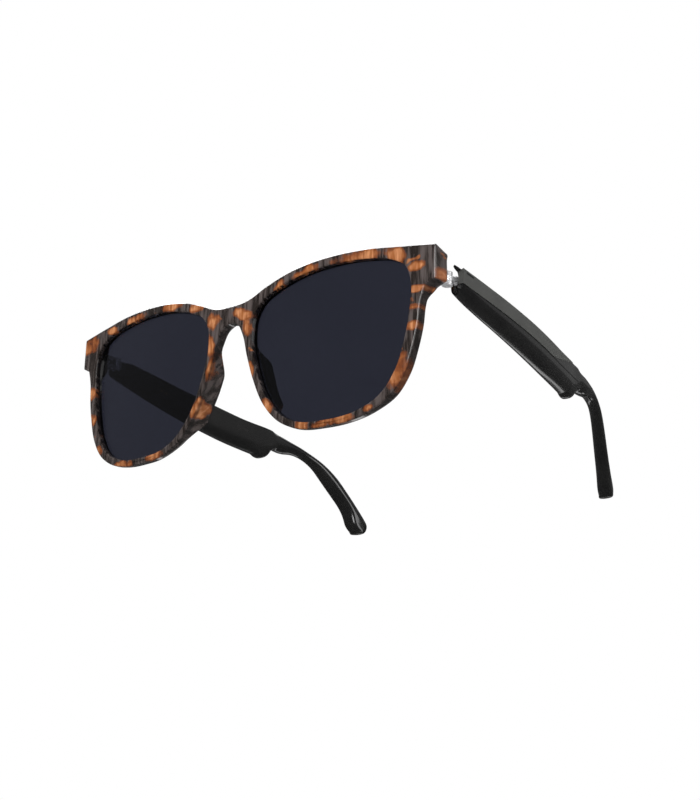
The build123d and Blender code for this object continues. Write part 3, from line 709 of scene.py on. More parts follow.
@dataclass
class TortoiseFront:
    """The one-piece front: rims, bridge, nose pads and end pieces, as one ring surface mirrored at X = 0.

    The ring runs round a lens opening. Across it, each column is a closed section: front face, outer
    wall, back face and the opening's wall with the lens groove.
    """

    wardrobe: Wardrobe
    curve: FrontCurve = FrontCurve()
    rim_depth: float = 4.4
    low_thinning: float = 1.3
    # width of the bands along the lens opening and the outline that get painted shade
    wall_margin: float = 0.3
    front_round: float = 0.5
    back_round: float = 1.3
    face_rows: int = 15
    wall_rows: int = 12
    edge_rows: int = 5
    groove: tuple[float, float, float] = (1.95, 3.25, 0.95)
    corner_x: float = 73.0
    corner_top: float = 50.3
    corner_bottom: float = 39.9
    end_depth: float = 13.5
    end_spread: float = 0.9
    end_top: float = 48.8
    chamfer_drop: float = 2.2
    chamfer_width: float = 0.7
    chamfer_back: float = 0.8
    end_from_x: tuple[float, float] = (64.9, 66.6)
    end_from_z: tuple[float, float] = (34.5, 39.3)
    spread_start: float = 65.4
    pad_reach: float = 6.2
    pad_splay: float = 0.36
    pad_foot: tuple[float, float] = (5.0, 13.0)
    pad_head: tuple[float, float] = (25.5, 33.0)
    pad_flank: tuple[float, float] = (18.0, 26.0)
    pad_edge: tuple[float, float] = (0.25, 2.4)
    low_height: float = 8.0
    brow_start: float = 45.0
    # how strongly the painted shade darkens the underside band of the outline
    under_painted_shade: float = 0.6

    def outer_curve(self) -> Points:
        """The front's outline on the left half: brow, end piece, cheek, lower rim, nose and bridge."""
        brow = smooth_line(
            [(-7.0, 45.7), (0, 45.0), (7.0, 45.7), (13.5, 48.4), (22.0, 51.3), (31.0, 52.9), (40.0, 53.4),
             (50.0, 53.1), (60.0, 51.9), (self.corner_x, self.corner_top)]
        )[CURVE_STEPS:]
        under = smooth_line(
            [(69.9, 38.6), (68.3, 33.5), (67.5, 26.8), (66.1, 20.5), (63.6, 13.0), (59.0, 6.4), (52.5, 2.3),
             (45.0, 0.4), (37.0, 0.0), (28.0, 0.8), (20.5, 4.3), (14.8, 10.3), (10.4, 18.9), (7.4, 27.4),
             (5.2, 34.8), (3.2, 38.2), (0, 39.4), (-3.2, 38.2)]
        )[:-CURVE_STEPS]
        return np.vstack([brow, [[self.corner_x, self.corner_bottom]], under])

    def ring(self) -> Section:
        """Matching points on the outline and on the lens opening, column by column."""
        counts = [20, 30, 16, 14, 5, 18, 24, 14, 18, 26, 9, 8]
        outer_stops = [
            (0, 45.0), (22.0, 51.3), (60.0, 51.9), (73.0, 50.3), (73.0, 39.9), (69.9, 38.6), (66.1, 20.5),
            (52.5, 2.3), (37.0, 0.0), (20.5, 4.3), (7.4, 27.4), (5.2, 34.8), (0, 39.4),
        ]
        inner_stops = [
            (12.0, 43.6), (20.5, 47.8), (57.5, 48.6), (63.3, 45.3), (65.2, 41.0), (65.2, 38.4), (63.1, 21.5),
            (51.0, 4.5), (37.0, 2.2), (22.5, 5.5), (10.2, 27.6), (9.0, 34.5), (9.4, 38.6),
        ]
        cut = 8
        loop = np.vstack([LENS_CURVE[2 * CURVE_STEPS : -1], LENS_CURVE[: 2 * CURVE_STEPS + 1]])
        outer = matched(self.outer_curve(), outer_stops, counts)
        inner = matched(loop, inner_stops, counts)
        bridge = np.linspace(outer[-1], outer[0], cut + 1)[1:]
        nasal = matched(LENS_CURVE[: 5 * CURVE_STEPS // 2], [(9.4, 38.6), (12.0, 43.6)], [cut])[1:]
        return np.vstack([outer, bridge]), np.vstack([inner, nasal])

    def face(self, outer: Points, inner: Points) -> Points:
        """Points across the ring, crowded at both edges so that they carry the rounding.

        Args:
            outer: the outline's points.
            inner: the opening's points.

        Returns:
            columns x rows x 2 points.
        """
        angle = np.linspace(0, math.pi / 2, self.edge_rows)
        near = self.back_round * (1 - np.cos(angle))
        width = np.linalg.norm(outer - inner, axis=1)[:, None]
        low = near[None] / width
        high = 1 - low[:, ::-1]
        share = np.linspace(0, 1, self.face_rows + 1)[None, 1:-1]
        middle = low[:, -1:] + share * (high[:, :1] - low[:, -1:])
        across = np.concatenate([low, middle, high], axis=1)[:, :, None]
        return inner[:, None] * (1 - across) + outer[:, None] * across

    def pushed(self, x: Points, z: Points, depth: Points, opening_gap: Points) -> Points:
        """Where a point of the back goes: end pieces reach back to the hinges, nose pads swell back.

        Args:
            x: from the middle.
            z: height.
            depth: its depth on the plain rim's back.
            opening_gap: its distance from the lens opening.

        Returns:
            The point as x, depth, z.
        """
        end = smoothstep(x, *self.end_from_x) * smoothstep(z, *self.end_from_z)
        reach = np.clip((x - self.spread_start) / (self.corner_x - self.spread_start), 0, 1)
        rise = np.clip((z - self.corner_bottom) / (self.corner_top - self.corner_bottom), 0, 1)
        raised = self.corner_bottom + rise * (self.end_top - self.corner_bottom)
        end_z = np.where(z > self.corner_bottom, raised, z)
        edge = self.corner_x + self.end_spread
        above = np.clip(end_z - (self.end_top - self.chamfer_drop), 0, None)
        lean = above / self.chamfer_drop
        end_x = np.minimum(x + self.end_spread * reach, edge - self.chamfer_width * lean)
        end_y = self.end_depth + self.chamfer_back * lean
        pad = self.pad_reach * smoothstep(z, *self.pad_foot) * (1 - smoothstep(z, *self.pad_head))
        pad = pad * (1 - smoothstep(x, *self.pad_flank)) * smoothstep(opening_gap, *self.pad_edge)
        return np.stack(
            [
                x + end * (end_x - x) + self.pad_splay * pad,
                depth + end * (end_y - depth) + pad,
                z + end * (end_z - z),
            ],
            axis=-1,
        )

    def half(self) -> tuple[Points, Points]:
        """The left half's vertices and quads.

        Returns:
            The vertices as x, depth, z, and the quads.
        """
        outer, inner = self.ring()
        flat = self.face(outer, inner)
        x, z = flat[..., 0], flat[..., 1]
        outline = self.outer_curve()
        opening_gap = clearance(flat, LENS_CURVE)
        outline_gap = clearance(flat, outline)
        base = self.curve.depth(x, z)
        gap = np.minimum(opening_gap, outline_gap)
        front = np.stack([x, base + setback(gap, self.front_round), z], axis=-1)
        thinned = base + self.rim_depth - self.low_thinning * (1 - smoothstep(z, 0.0, self.low_height))
        back = self.pushed(x, z, thinned, opening_gap)
        back[..., 1] -= setback(gap, self.back_round)
        share = np.linspace(0, 1, self.wall_rows + 2)[None, 1:-1, None]
        wall = front[:, -1:] * (1 - share) + back[:, -1:] * share
        first, last, deep = self.groove
        away = np.gradient(inner, axis=0)
        away = np.column_stack([-away[:, 1], away[:, 0]]) / np.linalg.norm(away, axis=1)[:, None]
        steps = [(0.0, last), (deep, last), (deep, first), (0.0, first)]
        rim_depth = self.curve.depth(inner[:, 0], inner[:, 1])
        edges = [(inner + far * away, rim_depth + down) for far, down in steps]
        slot = np.stack([np.column_stack([at[:, 0], level, at[:, 1]]) for at, level in edges], axis=1)
        section = np.concatenate([front, wall, back[:, ::-1], slot], axis=1)
        columns, rows = section.shape[:2]
        faces = quad_faces(columns, rows, wrap=True)
        on_cut = np.abs(section[..., 0]).reshape(-1) < 1e-6
        return section.reshape(-1, 3), faces[~on_cut[faces].all(axis=1)]

    def build(self) -> list[bpy.types.Object]:
        """The front as one piece.

        Returns:
            The pieces made.
        """
        points, faces = self.half()
        twin = points * np.array([-1.0, 1.0, 1.0])
        both = np.vstack([points, twin])
        piece = make_piece("tortoise_front", both, np.vstack([faces, faces[:, ::-1] + len(points)]))
        place = np.empty(len(piece.data.vertices) * 3, np.float32)
        piece.data.vertices.foreach_get("co", place)
        place = place.reshape(-1, 3)
        x, z = place[:, 0] / MM, place[:, 2] / MM
        hills = np.stack([patch.hill(x, z) for patch in AMBER_PATCHES])
        amber = piece.data.attributes.new("amber", "FLOAT", "POINT")
        amber.data.foreach_set("value", np.clip(hills.max(axis=0), -4.0, 1.0).astype(np.float32))
        # Painted shade: the shade attribute is 1 on the lens openings' sides and a lesser share on the
        # underside band of the outline below the brow, only behind the front rounding; the material darkens
        # these towards near black.
        behind = place[:, 1] / MM - FRONT_Y - self.curve.depth(x, z)
        spot = np.column_stack([np.abs(x), z])
        painted_shade_share = (clearance(spot, LENS_CURVE) < self.wall_margin) * 1.0
        low_edge = (z < self.brow_start) & (np.abs(x) < self.corner_x - 0.1)
        under = (clearance(spot, self.outer_curve()) < self.wall_margin) & low_edge
        painted_shade_share = np.maximum(painted_shade_share, self.under_painted_shade * under) * (behind > self.front_round)
        shade = piece.data.attributes.new("shade", "FLOAT", "POINT")
        shade.data.foreach_set("value", painted_shade_share.astype(np.float32))
        self.wardrobe.dress(piece, TortoiseFinish())
        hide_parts("front_frame")
        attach(piece, "front")
        return [piece]


@dataclass
class SunLens:
    """One curved lens, its edge held in the rim's groove."""

    wardrobe: Wardrobe
    side: Side
    curve: FrontCurve = FrontCurve()
    setback: float = 2.0
    thickness: float = 1.2
    edge: float = 0.85
    centre: tuple[float, float] = (37.5, 27.0)
    rings: int = 14
    columns: int = 160

    def build(self) -> list[bpy.types.Object]:
        """The lens: rings that shrink from the outline to the centre, on two parallel curved sheets.

        Returns:
            The pieces made.
        """
        run = lengths(LENS_CURVE)
        where = np.linspace(0, run[-1], self.columns, endpoint=False)
        outline = np.column_stack([np.interp(where, run, LENS_CURVE[:, axis]) for axis in (0, 1)])
        along = np.roll(outline, -1, axis=0) - np.roll(outline, 1, axis=0)
        away = np.column_stack([-along[:, 1], along[:, 0]]) / np.linalg.norm(along, axis=1)[:, None]
        outline = outline + self.edge * away
        share = np.linspace(0, 1, self.rings)[:, None, None]
        flat = np.array(self.centre) + share * (outline[None] - np.array(self.centre))
        x, z = flat[..., 0], flat[..., 1]
        depth = self.curve.depth(x, z) + self.setback
        front = np.stack([x, depth, z], axis=-1)
        back = np.stack([x, depth + self.thickness, z], axis=-1)
        shell = np.concatenate([front, back[::-1]])
        faces = quad_faces(2 * self.rings, self.columns, wrap=True)
        piece = make_piece(f"sun_lens_{self.side.word}", mirrored(shell, self.side), faces)
        self.wardrobe.dress(piece, LensFinish())
        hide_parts(f"lens_{self.side.word}")
        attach(piece, "front")
        return [piece]


# ---- Temples ----------------------------------------------------------------------------------------
@dataclass(frozen=True)
class TempleShape:
    """The temple's solid shape as formulas: a side view between two edge curves, and a thickness."""

    front: float = 17.0
    mid_x: float = 71.25
    bend_start: float = 40.0
    bend_radius: float = 320.0
    hook_bulge: float = 1.45
    hook_turn: float = 2.2
    half_body: float = 2.85
    half_hook: float = 2.15
    half_tip: float = 2.8
    crease: float = 5.3
    inner_crease: float = 6.4
    crease_step: float = 0.16
    crease_gap: float = 0.12
    corner_round: float = 1.1
    body_height: tuple[float, float] = (5.2, 9.5)
    body_power: float = 2.8
    inner_keel_power: float = 4.0
    hook_power: float = 2.15
    top_start: float = 47.5
    top_fall: float = 0.1215
    top_curve: float = 0.00033
    bottom_start: float = 40.0
    bottom_fall: float = 0.262
    bottom_curve: float = 0.0008

    def middle_x(self, depth: Points) -> Points:
        """X of the mid-line: straight, then a wide arc inwards, x0 - (d - d0)^2 / 2R, with a slight bulge
        out where the hook starts and a turn in towards its tip."""
        arc = np.clip(np.asarray(depth) - self.bend_start, 0, None) ** 2 / (2 * self.bend_radius)
        turn = self.hook_bulge * smoothstep(depth, 92, 110) - self.hook_turn * smoothstep(depth, 115, 139)
        return self.mid_x - arc + turn

    def half_thickness(self, depth: Points) -> Points:
        """Half the thickness: full along the body, slim at the hook, fuller at the tip."""
        slim = smoothstep(depth, 94, 120) * (self.half_body - self.half_hook)
        fuller = np.clip((np.asarray(depth) - 118) / 20, 0, 1) * (self.half_tip - self.half_hook)
        return self.half_body - slim + fuller

    def top_z(self, depth: Points) -> Points:
        """Height of the upper edge, a shallow parabola in the depth, a little higher before the hook."""
        run = np.asarray(depth) - self.front
        rise = 0.1 * smoothstep(depth, 50.0, 65.0) + 0.9 * smoothstep(depth, 80.0, 99.0)
        return self.top_start - self.top_fall * run - self.top_curve * run**2 + rise

    def bottom_z(self, depth: Points) -> Points:
        """Height of the lower edge, as far as the speaker's bump."""
        run = np.asarray(depth) - 20.0
        return self.bottom_start - self.bottom_fall * run + self.bottom_curve * run**2

    def edges(self) -> Section:
        """The upper edge from the front to the tip, and the lower edge, as depth, z.

        Returns:
            The two curves. Both end at the tip.
        """
        depth = np.linspace(self.front, 103, 120)
        upper = np.column_stack([depth, self.top_z(depth)])
        heading = upper[-1] - upper[-2]
        heading = heading / np.linalg.norm(heading)
        arcs = [upper]
        point = upper[-1]
        chain = [(119.4, 30.35), (131.3, 20.7), (137.2, 13.0), (141.9, 6.4), (138.2, 1.7), (134.5, 5.6),
                 (130.4, 13.2), (121.7, 23.8), (107.5, 29.25), (100.9, 29.4), (95.7, 27.0), (89.6, 25.95)]
        for corner in chain:
            arc, heading = tangent_arc(point, heading, corner)
            arcs.append(arc[1:])
            point = arc[-1]
        last, low = chain[-1]
        run = np.linspace(last, self.front, 91)[1:]
        keel = np.column_stack([run, self.bottom_z(run)])
        lift = (low - self.bottom_z(last)) * smoothstep(run, 72.0, last)
        keel[:, 1] += lift
        tip = 6
        return np.vstack(arcs[:tip]), np.vstack(arcs[tip:] + [keel])[::-1]

    def ribs(self) -> Section:
        """Matching points on the upper and the lower edge, from the front to the tip."""
        counts = [14, 44, 12, 12, 12, 14, 22, 16, 12, 6, 8]
        upper_stops = [(17.0, 47.4), (30.0, 45.8), (84.0, 37.8), (91.0, 36.6), (96.2, 35.7), (101.5, 34.8),
                       (108.6, 33.9), (125.2, 26.5), (134.6, 16.8), (139.9, 9.4), (141.9, 6.4), (138.2, 1.7)]
        lower_stops = [(17.0, 40.8), (30.0, 37.5), (84.0, 26.5), (89.9, 26.0), (95.7, 27.0), (100.9, 29.4),
                       (107.5, 29.25), (121.7, 23.8), (130.4, 13.2), (134.5, 5.6), (135.6, 3.3), (138.2, 1.7)]
        upper, lower = self.edges()
        return matched(upper, upper_stops, counts), matched(lower, lower_stops, counts)

    def profile(self, height: Points, thickness: Points, side: int) -> Section:
        """One side of the section from the top to the bottom: a rounded top corner, a flat side down to
        a crease, and a superellipse from there to the keel.

        Args:
            height: each rib's height.
            thickness: each rib's half thickness.
            side: 1 for the outer side, -1 for the inner.

        Returns:
            The drop from the top and the sideways distance, ribs x points.
        """
        height = height[:, None]
        full = thickness[:, None]
        body = smoothstep(height, *self.body_height)
        round_top = body * self.corner_round + (1 - body) * height / 2
        crease = body * (self.crease if side > 0 else self.inner_crease) + (1 - body) * height / 2
        crease = np.maximum(crease, round_top)
        hook = (1 - body) * self.hook_power
        power = body * self.body_power + hook
        keel_power = body * (self.body_power if side > 0 else self.inner_keel_power) + hook
        angle = np.linspace(0, math.pi / 2, 8)[None]
        top_drop = round_top * (1 - np.cos(angle) ** (2 / power))
        top_out = full * np.sin(angle) ** (2 / power)
        flat = np.linspace(0, 1, 5)[None, 1:]
        flat_drop = round_top + flat * (crease - round_top)
        angle = np.linspace(0, math.pi / 2, 13)[None]
        step = self.crease_step * body * (side > 0)
        gap = self.crease_gap * body
        keel_drop = crease + gap + (height - crease - gap) * np.sin(angle) ** (2 / keel_power)
        keel_out = (full - step) * np.abs(np.cos(angle)) ** (2 / keel_power)
        drop = np.concatenate([top_drop, flat_drop, keel_drop], axis=1)
        out = np.concatenate([top_out, full + 0 * flat_drop, keel_out], axis=1)
        return drop, out

    def skin(self, depth: Points, drop: Points, proud: float, side: int) -> Points:
        """Points on the flat of a side, a distance proud of it.

        Args:
            depth: where along the temple.
            drop: how far below the upper edge.
            proud: distance out of the skin.
            side: 1 for the outer side, -1 for the inner.

        Returns:
            The points as x, depth, z.
        """
        out = self.middle_x(depth) + side * (self.half_thickness(depth) + proud)
        return np.stack([out + 0 * drop, depth + 0 * drop, self.top_z(depth) - drop], axis=-1)


@dataclass
class Temple:
    """One black temple: shell with hinge pocket, outer panel, inner cover, contacts and ports."""

    wardrobe: Wardrobe
    side: Side
    shape: TempleShape = TempleShape()
    end_face: float = 3.8
    inner_start: float = 5.7
    pocket_end: float = 29.5
    wall: float = 1.8
    lid: float = 0.6
    panel_front: float = 20.72
    panel_shoulder: float = 76.0
    panel_tip: float = 92.0
    panel_proud: float = 0.10
    lip_root: float = 0.7
    cover_front: float = 28.1
    cover_slant: float = 1.8
    cover_end: float = 91.0
    cover_proud: float = 0.03
    roof_share: tuple[float, float] = (0.03, 0.12)
    lip_tip: float = 0.9
    lip_inner_cut: float = 8.3
    lip_outer_cut: float = 2.9
    inner_lead: float = 3.5
    front_fade: float = 13.0
    tip_start: float = 125.0
    tip_closing: float = 4.2
    mouth_limit: float = 0.66
    roof_thinning: float = 0.8
    pocket_slope: float = 0.2
    panel_top: float = 0.55
    panel_gap: float = 0.06
    panel_tip_height: float = 0.35
    panel_root: float = 1.75
    cover_top: float = 0.75
    cover_margin: float = 0.9
    cover_root: float = 0.5
    port_root: float = 0.3
    port_sink: float = 0.015
    microphone_place: tuple[float, float] = (24.4, 1.4)
    microphone_size: tuple[float, float] = (4.2, 0.62)
    speaker_size: tuple[float, float] = (6.0, 1.3)
    contact_size: tuple[float, float] = (1.4, 1.39)
    contact_depth: float = 42.4
    contact_radius: float = 0.7

    def name(self, part: str) -> str:
        """A piece's name on this side."""
        return f"{part}_{self.side.word}"

    def keep(self, piece: bpy.types.Object, finish: Finish, slot: str, *nodes: str) -> bpy.types.Object:
        """Dresses a piece, lets it stand for CAD nodes and puts it on the temple's body."""
        self.wardrobe.dress(piece, finish)
        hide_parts(*nodes)
        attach(piece, self.side.body)
        return piece

    def front_shift(self, out: Points, share: Points) -> Points:
        """How far behind the tip of its upper lip the front edge starts: the outer wall ends in an
        upright face, the inner side starts further back, and the roof is cut away but for the lip.

        Args:
            out: signed sideways distance, as a share of the half thickness.
            share: drop as a share of the height.

        Returns:
            The shift in millimetres.
        """
        lip = self.lip_tip + self.lip_inner_cut * smoothstep(-out, -0.55, -0.05)
        lip = lip + self.lip_outer_cut * smoothstep(out, 0.7, 1.0)
        roof = 1 - smoothstep(share, *self.roof_share)
        outer = self.end_face + roof * (lip - self.end_face)
        inner = self.inner_start + self.inner_lead * (1 - smoothstep(share, 0.12, 0.30))
        towards_inner = smoothstep(-out, -0.6, 0.4) * (1 - roof) + smoothstep(-out, 0.0, 0.3) * roof
        return outer * (1 - towards_inner) + inner * towards_inner

    def shell(self) -> bpy.types.Object:
        """The shell: closed sections carried along the two edges, with a hinge pocket at the front.

        Returns:
            The new piece.
        """
        shape = self.shape
        upper, lower = shape.ribs()
        height = np.linalg.norm(lower - upper, axis=1)
        down = (lower - upper) / np.maximum(height, 1e-9)[:, None]
        middle = (upper + lower) / 2
        thickness = shape.half_thickness(middle[:, 0])
        closing = np.clip(height / self.tip_closing, 0, 1)
        rounded = np.sqrt(1 - (1 - closing) ** 2)
        thickness = thickness * np.where(middle[:, 0] > self.tip_start, rounded, 1.0)
        outer_drop, outer_out = shape.profile(height, thickness, 1)
        inner_drop, inner_out = shape.profile(height, thickness, -1)
        drop = np.concatenate([outer_drop, inner_drop[:, -2:0:-1]], axis=1)
        out = np.concatenate([outer_out, -inner_out[:, -2:0:-1]], axis=1)
        depth = upper[:, :1] + down[:, :1] * drop
        z = upper[:, 1:] + down[:, 1:] * drop
        share = drop / np.maximum(height, 1e-9)[:, None]
        fade = np.clip(1 - (upper[:, :1] - shape.front) / self.front_fade, 0, 1)
        shift = self.front_shift(out / np.maximum(thickness, 1e-9)[:, None], share) * fade
        level = shape.top_z(depth + shift) * (1 - share) + shape.bottom_z(depth + shift) * share
        z = np.where(fade > 0, level, z)
        depth = depth + shift
        x = shape.middle_x(depth) + out
        skin = np.stack([x, depth, z], axis=-1)
        rim = skin[0]
        roof = 1 - smoothstep(share[0], *self.roof_share)
        centre_z = (shape.top_z(rim[:, 1]) + shape.bottom_z(rim[:, 1])) / 2
        mouth = rim.copy()
        wall = np.minimum(self.wall * (1 - self.roof_thinning * roof), np.abs(out[0]) * self.mouth_limit)
        mouth[:, 0] -= np.sign(out[0]) * wall
        mouth[:, 2] = centre_z + (rim[:, 2] - centre_z) * (1 - 2 * self.lid / height[0])
        floor = mouth.copy()
        floor[:, 1] = self.pocket_end
        floor[:, 2] -= self.pocket_slope * (self.pocket_end - mouth[:, 1])
        pole = np.broadcast_to(floor.mean(axis=0), floor.shape)
        rings = np.concatenate([[pole], [floor], [mouth], skin])
        faces = quad_faces(len(rings), rings.shape[1], wrap=True)
        piece = make_piece(self.name("temple"), mirrored(rings, self.side), faces)
        return self.keep(piece, BLACK_GLOSS, "temple_black", f"temple_shell_{self.side.word}")

    def panel(self) -> bpy.types.Object:
        """The outer panel: a plate on the flat of the outer side, whose lower edge rises to the upper
        edge between the shoulder and the tip.

        Returns:
            The new piece.
        """
        shape = self.shape
        depth = np.concatenate([
            np.linspace(self.panel_front, self.panel_shoulder, 60),
            np.linspace(self.panel_shoulder, self.panel_tip, 24)[1:],
        ])[:, None]
        rise = np.clip((depth - self.panel_shoulder) / (self.panel_tip - self.panel_shoulder), 0, 1)
        top = self.panel_top
        bottom = shape.crease - self.panel_gap - (shape.crease - top - self.panel_tip_height) * rise
        share = np.linspace(0, 1, 9)[None]
        drop = top + (bottom - top) * share
        outer = shape.skin(depth + 0 * drop, drop, self.panel_proud, 1)
        root_drop = drop + self.lip_root * (1 - share)
        inner = shape.skin(depth + 0 * drop, root_drop, -self.panel_root, 1)
        piece = plate(self.name("side_panel"), mirrored(outer, self.side), mirrored(inner, self.side), 0.06)
        # the panel's grey finish is partly painted sheen
        return self.keep(piece, PANEL_GREY_AND_SHEEN, "panel_grey", f"outer_panel_{self.side.word}")

    def cover(self) -> bpy.types.Object:
        """The inner cover: a gloss plate on the flat of the inner side, with a slanted front edge.

        Returns:
            The new piece.
        """
        shape = self.shape
        share = np.linspace(0, 1, 9)[None]
        run = np.linspace(0, 1, 80)[:, None]
        start = self.cover_front + self.cover_slant * (2 * share - 1)
        depth = start + run * (self.cover_end - start)
        drop = self.cover_top + share * (shape.inner_crease - self.cover_margin)
        outer = shape.skin(depth, drop, self.cover_proud, -1)
        inner = shape.skin(depth, drop, -self.cover_root, -1)
        sheets = (mirrored(outer, self.side), mirrored(inner, self.side))
        piece = plate(self.name("inner_cover_plate"), *sheets, 0.05)
        return self.keep(piece, BLACK_GLOSS, "temple_black", f"inner_cover_{self.side.word}")

    def port(self, part: str, centre: tuple[float, float], size: tuple[float, float], side: int, slope: float,
             proud: float) -> bpy.types.Object:
        """A small stadium-shaped inlay: rings that shrink from a rounded lip to a sunk floor.

        Args:
            part: its name.
            centre: depth and drop below the upper edge.
            size: length and height.
            side: 1 for the outer side, -1 for the inner.
            slope: fall of its long axis, in degrees.
            proud: how far the lip stands out of the skin.

        Returns:
            The new piece.
        """
        angle = np.linspace(0, 2 * math.pi, 48, endpoint=False)
        radius, straight = size[1] / 2, (size[0] - size[1]) / 2
        along = radius * np.cos(angle) + straight * np.sign(np.cos(angle)) * (np.abs(np.cos(angle)) > 1e-9)
        across = radius * np.sin(angle)
        slim = [0.0, 1.0, 0.94, 0.80, 0.74, 0.0]
        sunk = proud - self.port_sink
        heights = [-self.port_root, -self.port_root, proud, proud, sunk, sunk]
        turn = math.radians(slope)
        rings = []
        for scale, lift in zip(slim, heights):
            ring_along, ring_across = along * scale, across * scale
            depth = centre[0] + ring_along * math.cos(turn) + ring_across * math.sin(turn)
            drop = self.shape.top_z(depth) - self.shape.top_z(centre[0]) + centre[1]
            drop = drop + ring_along * math.sin(turn) - ring_across * math.cos(turn)
            rings.append(self.shape.skin(depth, drop, lift, side))
        faces = quad_faces(len(rings), angle.size, wrap=True)
        return make_piece(self.name(part), mirrored(np.stack(rings), self.side), faces)

    def build(self) -> list[bpy.types.Object]:
        """All of the temple's pieces.

        Returns:
            The pieces made.
        """
        made = [self.shell(), self.panel(), self.cover()]
        place, size = self.microphone_place, self.microphone_size
        slot = self.port("microphone_slot", place, size, 1, 7.0, self.panel_proud + 0.02)
        self.wardrobe.dress(slot, POCKET_BLACK)
        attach(slot, self.side.body)
        made.append(slot)
        low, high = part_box(f"speaker_mesh_{self.side.word}")
        vent_depth = (low.y + high.y) / 2 / MM - FRONT_Y
        vent_drop = float(self.shape.top_z(vent_depth)) - (low.z + high.z) / 2 / MM
        place, size = (vent_depth, vent_drop), self.speaker_size
        vent = self.port("speaker_slot", place, size, -1, 8.0, self.cover_proud + 0.02)
        made.append(self.keep(vent, MESH_DARK, "mesh_dark", f"speaker_mesh_{self.side.word}"))
        low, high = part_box(f"charging_contacts_{self.side.word}")
        drop = float(self.shape.top_z(self.contact_depth)) - (low.z + high.z) / 2 / MM
        first = (low.y / MM - FRONT_Y) + self.contact_radius
        last = (high.y / MM - FRONT_Y) - self.contact_radius
        for number, depth in enumerate((first, last)):
            place, size = (depth, drop), self.contact_size
            pin = self.port(f"contact_{number}", place, size, -1, 0.0, self.cover_proud + 0.04)
            made.append(self.keep(pin, CONTACT_GOLD, "contact_gold", f"charging_contacts_{self.side.word}"))
        return made


# ---- Carried-over hardware --------------------------------------------------------------------------
@dataclass
class Hardware:
    """The CAD nodes that stay: hinges, pins, screws and the electronics inside the temples."""

    wardrobe: Wardrobe

    def build(self) -> list[bpy.types.Object]:
        """Dresses every CAD node with its own finish.

        Returns:
            The nodes dressed.
        """
        dressed = []
        for name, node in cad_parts.items():
            finish = NODE_FINISHES.get(name.removesuffix("_left").removesuffix("_right"))
            if finish is not None:
                self.wardrobe.dress(node, finish)
                dressed.append(node)
        return dressed


# ---- Studio -----------------------------------------------------------------------------------------
@dataclass(frozen=True)
class Softbox:
    """A soft area light that looks at the glasses. shine lets it show in reflections, and fill lets it
    light matt surfaces."""

    name: str
    place: tuple[float, float, float]
    width: float
    height: float
    power: float
    shine: bool = True
    fill: bool = True

    def build(self, target: Vector) -> bpy.types.Object:
        """Makes the light.

        Args:
            target: the point that it looks at.

        Returns:
            The light's object.
        """
        data = bpy.data.lights.new(self.name, "AREA")
        data.shape = "RECTANGLE"
        data.size = self.width
        data.size_y = self.height
        data.energy = self.power
        lamp = bpy.data.objects.new(self.name, data)
        lamp.location = self.place
        lamp.rotation_mode = "QUATERNION"
        lamp.rotation_quaternion = (target - Vector(self.place)).to_track_quat("-Z", "Y")
        lamp.visible_glossy = self.shine
        lamp.visible_diffuse = self.fill
        lamp.visible_camera = False
        lamp.visible_transmission = False
        bpy.context.scene.collection.objects.link(lamp)
        return lamp


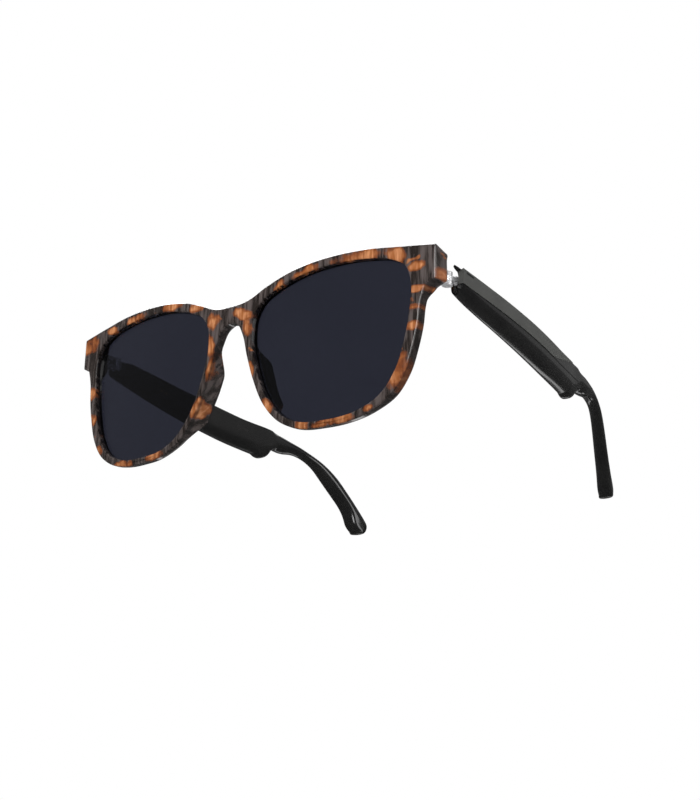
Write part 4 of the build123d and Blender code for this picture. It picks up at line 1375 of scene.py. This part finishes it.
@dataclass
class Studio:
    """Pale floor, white surroundings, soft lights and the camera."""

    surround: float = 0.42
    mirrored: float = 0.10
    camera_place: tuple[float, float, float] = (0.2992, -0.39565, -0.1161)
    camera_back: tuple[float, float, float] = (0.5860, -0.7587, -0.2845)
    roll: float = 0.32
    lens: float = 67.5
    sensor: float = 36.0
    floor_reach: float = 0.85

    def softboxes(self) -> list[Softbox]:
        """The lights: a broad key from the front, fills, and strips behind that draw lines on the gloss."""
        return [
            Softbox("key", (0.15, -0.9, 0.55), 0.9, 0.6, 6.5, shine=False),
            Softbox("front_strip", (-0.75, -0.75, 0.62), 0.5, 0.35, 2.2, shine=False),
            Softbox("top_strip", (0.1, 0.1, 0.9), 1.0, 0.25, 4.0),
            Softbox("side_strip", (0.95, 0.20, 0.25), 0.25, 0.7, 1.7),
            Softbox("back_sheet", (0.50, 0.74, 0.40), 0.9, 0.26, 0.11, fill=False),
            Softbox("edge_left", (-0.52, 0.26, 0.68), 0.6, 0.3, 4.5, fill=False),
            Softbox("edge_right", (0.80, -0.52, 0.26), 0.3, 0.6, 4.5, fill=False),
            Softbox("brow_strip", (-0.24, 0.70, 0.52), 0.7, 0.12, 0.3, fill=False),
            Softbox("keel_strip", (-0.26, 0.70, -0.48), 0.7, 0.10, 0.4, fill=False),
            Softbox("low_fill", (0.5, -0.6, -0.35), 0.5, 0.3, 1.2, shine=False),
        ]

    def world(self) -> None:
        """White behind the glasses and through the lenses, and softer for light and reflections."""
        world = bpy.data.worlds.new("studio_white")
        world.use_nodes = True
        bpy.context.scene.world = world
        kit = Nodes(world.node_tree)
        path = kit.add("LightPath")
        seen = kit.math("MAXIMUM", path.outputs["Is Camera Ray"], path.outputs["Is Transmission Ray"])
        soft = kit.ramp(path.outputs["Is Glossy Ray"], 0.0, 1.0, self.surround, self.mirrored)
        background = world.node_tree.nodes["Background"]
        background.inputs["Color"].default_value = (1.0, 1.0, 1.0, 1.0)
        kit.feed(background, "Strength", kit.ramp(seen, 0.0, 1.0, soft, 1.0))

    def floor(self) -> bpy.types.Object:
        """A pale floor just under the glasses, clear when it is looked at from below.

        Returns:
            The floor's object.
        """
        mesh = bpy.data.meshes.new("floor")
        reach, level = self.floor_reach, -0.0004
        signs = [(-1, -1), (1, -1), (1, 1), (-1, 1)]
        corners = [(x * reach, y * reach, level) for x, y in signs]
        mesh.from_pydata(corners, [], [(0, 1, 2, 3)])
        piece = bpy.data.objects.new("floor", mesh)
        bpy.context.scene.collection.objects.link(piece)
        made = bpy.data.materials.new("floor_pale")
        made.use_nodes = True
        kit = Nodes(made.node_tree)
        shader = made.node_tree.nodes["Principled BSDF"]
        grain = kit.add("TexNoise", None, Vector=kit.add("TexCoord").outputs["Object"], Scale=6.0)
        tones = rgba((0.80, 0.80, 0.80)), rgba((0.84, 0.84, 0.84))
        kit.feed(shader, "Base Color", kit.blend(grain.outputs[0], *tones))
        shader.inputs["Roughness"].default_value = 0.7
        clear = kit.add("BsdfTransparent")
        pick = kit.add("MixShader")
        kit.feed(pick, 0, kit.add("NewGeometry").outputs["Backfacing"])
        kit.feed(pick, 1, shader.outputs[0])
        kit.feed(pick, 2, clear.outputs[0])
        kit.feed(made.node_tree.nodes["Material Output"], "Surface", pick.outputs[0])
        piece.data.materials.append(made)
        piece.visible_glossy = False
        return piece

    def camera(self) -> bpy.types.Object:
        """The camera: low, in front and to the wearer's left, looking up.

        Returns:
            The camera's object.
        """
        data = bpy.data.cameras.new("camera")
        data.lens = self.lens
        data.sensor_width = self.sensor
        data.sensor_fit = "AUTO"
        data.clip_start, data.clip_end = 0.01, 50.0
        camera = bpy.data.objects.new("camera", data)
        back = Vector(self.camera_back).normalized()
        level = Vector((0, 0, 1)).cross(back).normalized()
        rise = back.cross(level)
        turn = math.radians(self.roll)
        right = level * math.cos(turn) + rise * math.sin(turn)
        up = back.cross(right)
        axes = Matrix((right, up, back)).transposed().to_4x4()
        camera.matrix_world = Matrix.Translation(self.camera_place) @ axes
        bpy.context.scene.collection.objects.link(camera)
        bpy.context.scene.camera = camera
        return camera

    def build(self) -> None:
        """Makes the world, the floor, the lights and the camera."""
        bpy.context.scene.view_settings.view_transform = "Standard"
        self.world()
        self.floor()
        target = (CAD_BOX[0] + CAD_BOX[1]) / 2
        for softbox in self.softboxes():
            softbox.build(target)
        self.camera()


def main() -> None:
    """Builds the glasses piece by piece, then the studio round them."""
    logging.basicConfig(level=logging.INFO, format="%(name)s: %(message)s")
    wardrobe = Wardrobe()
    makers = [TortoiseFront(wardrobe), *(SunLens(wardrobe, side) for side in Side)]
    makers += [*(Temple(wardrobe, side) for side in Side), Hardware(wardrobe)]
    for maker in makers:
        for piece in maker.build():
            LOG.info("%s: %d faces", piece.name, len(piece.data.polygons))
    Studio().build()


if __name__ == "__main__":
    main()
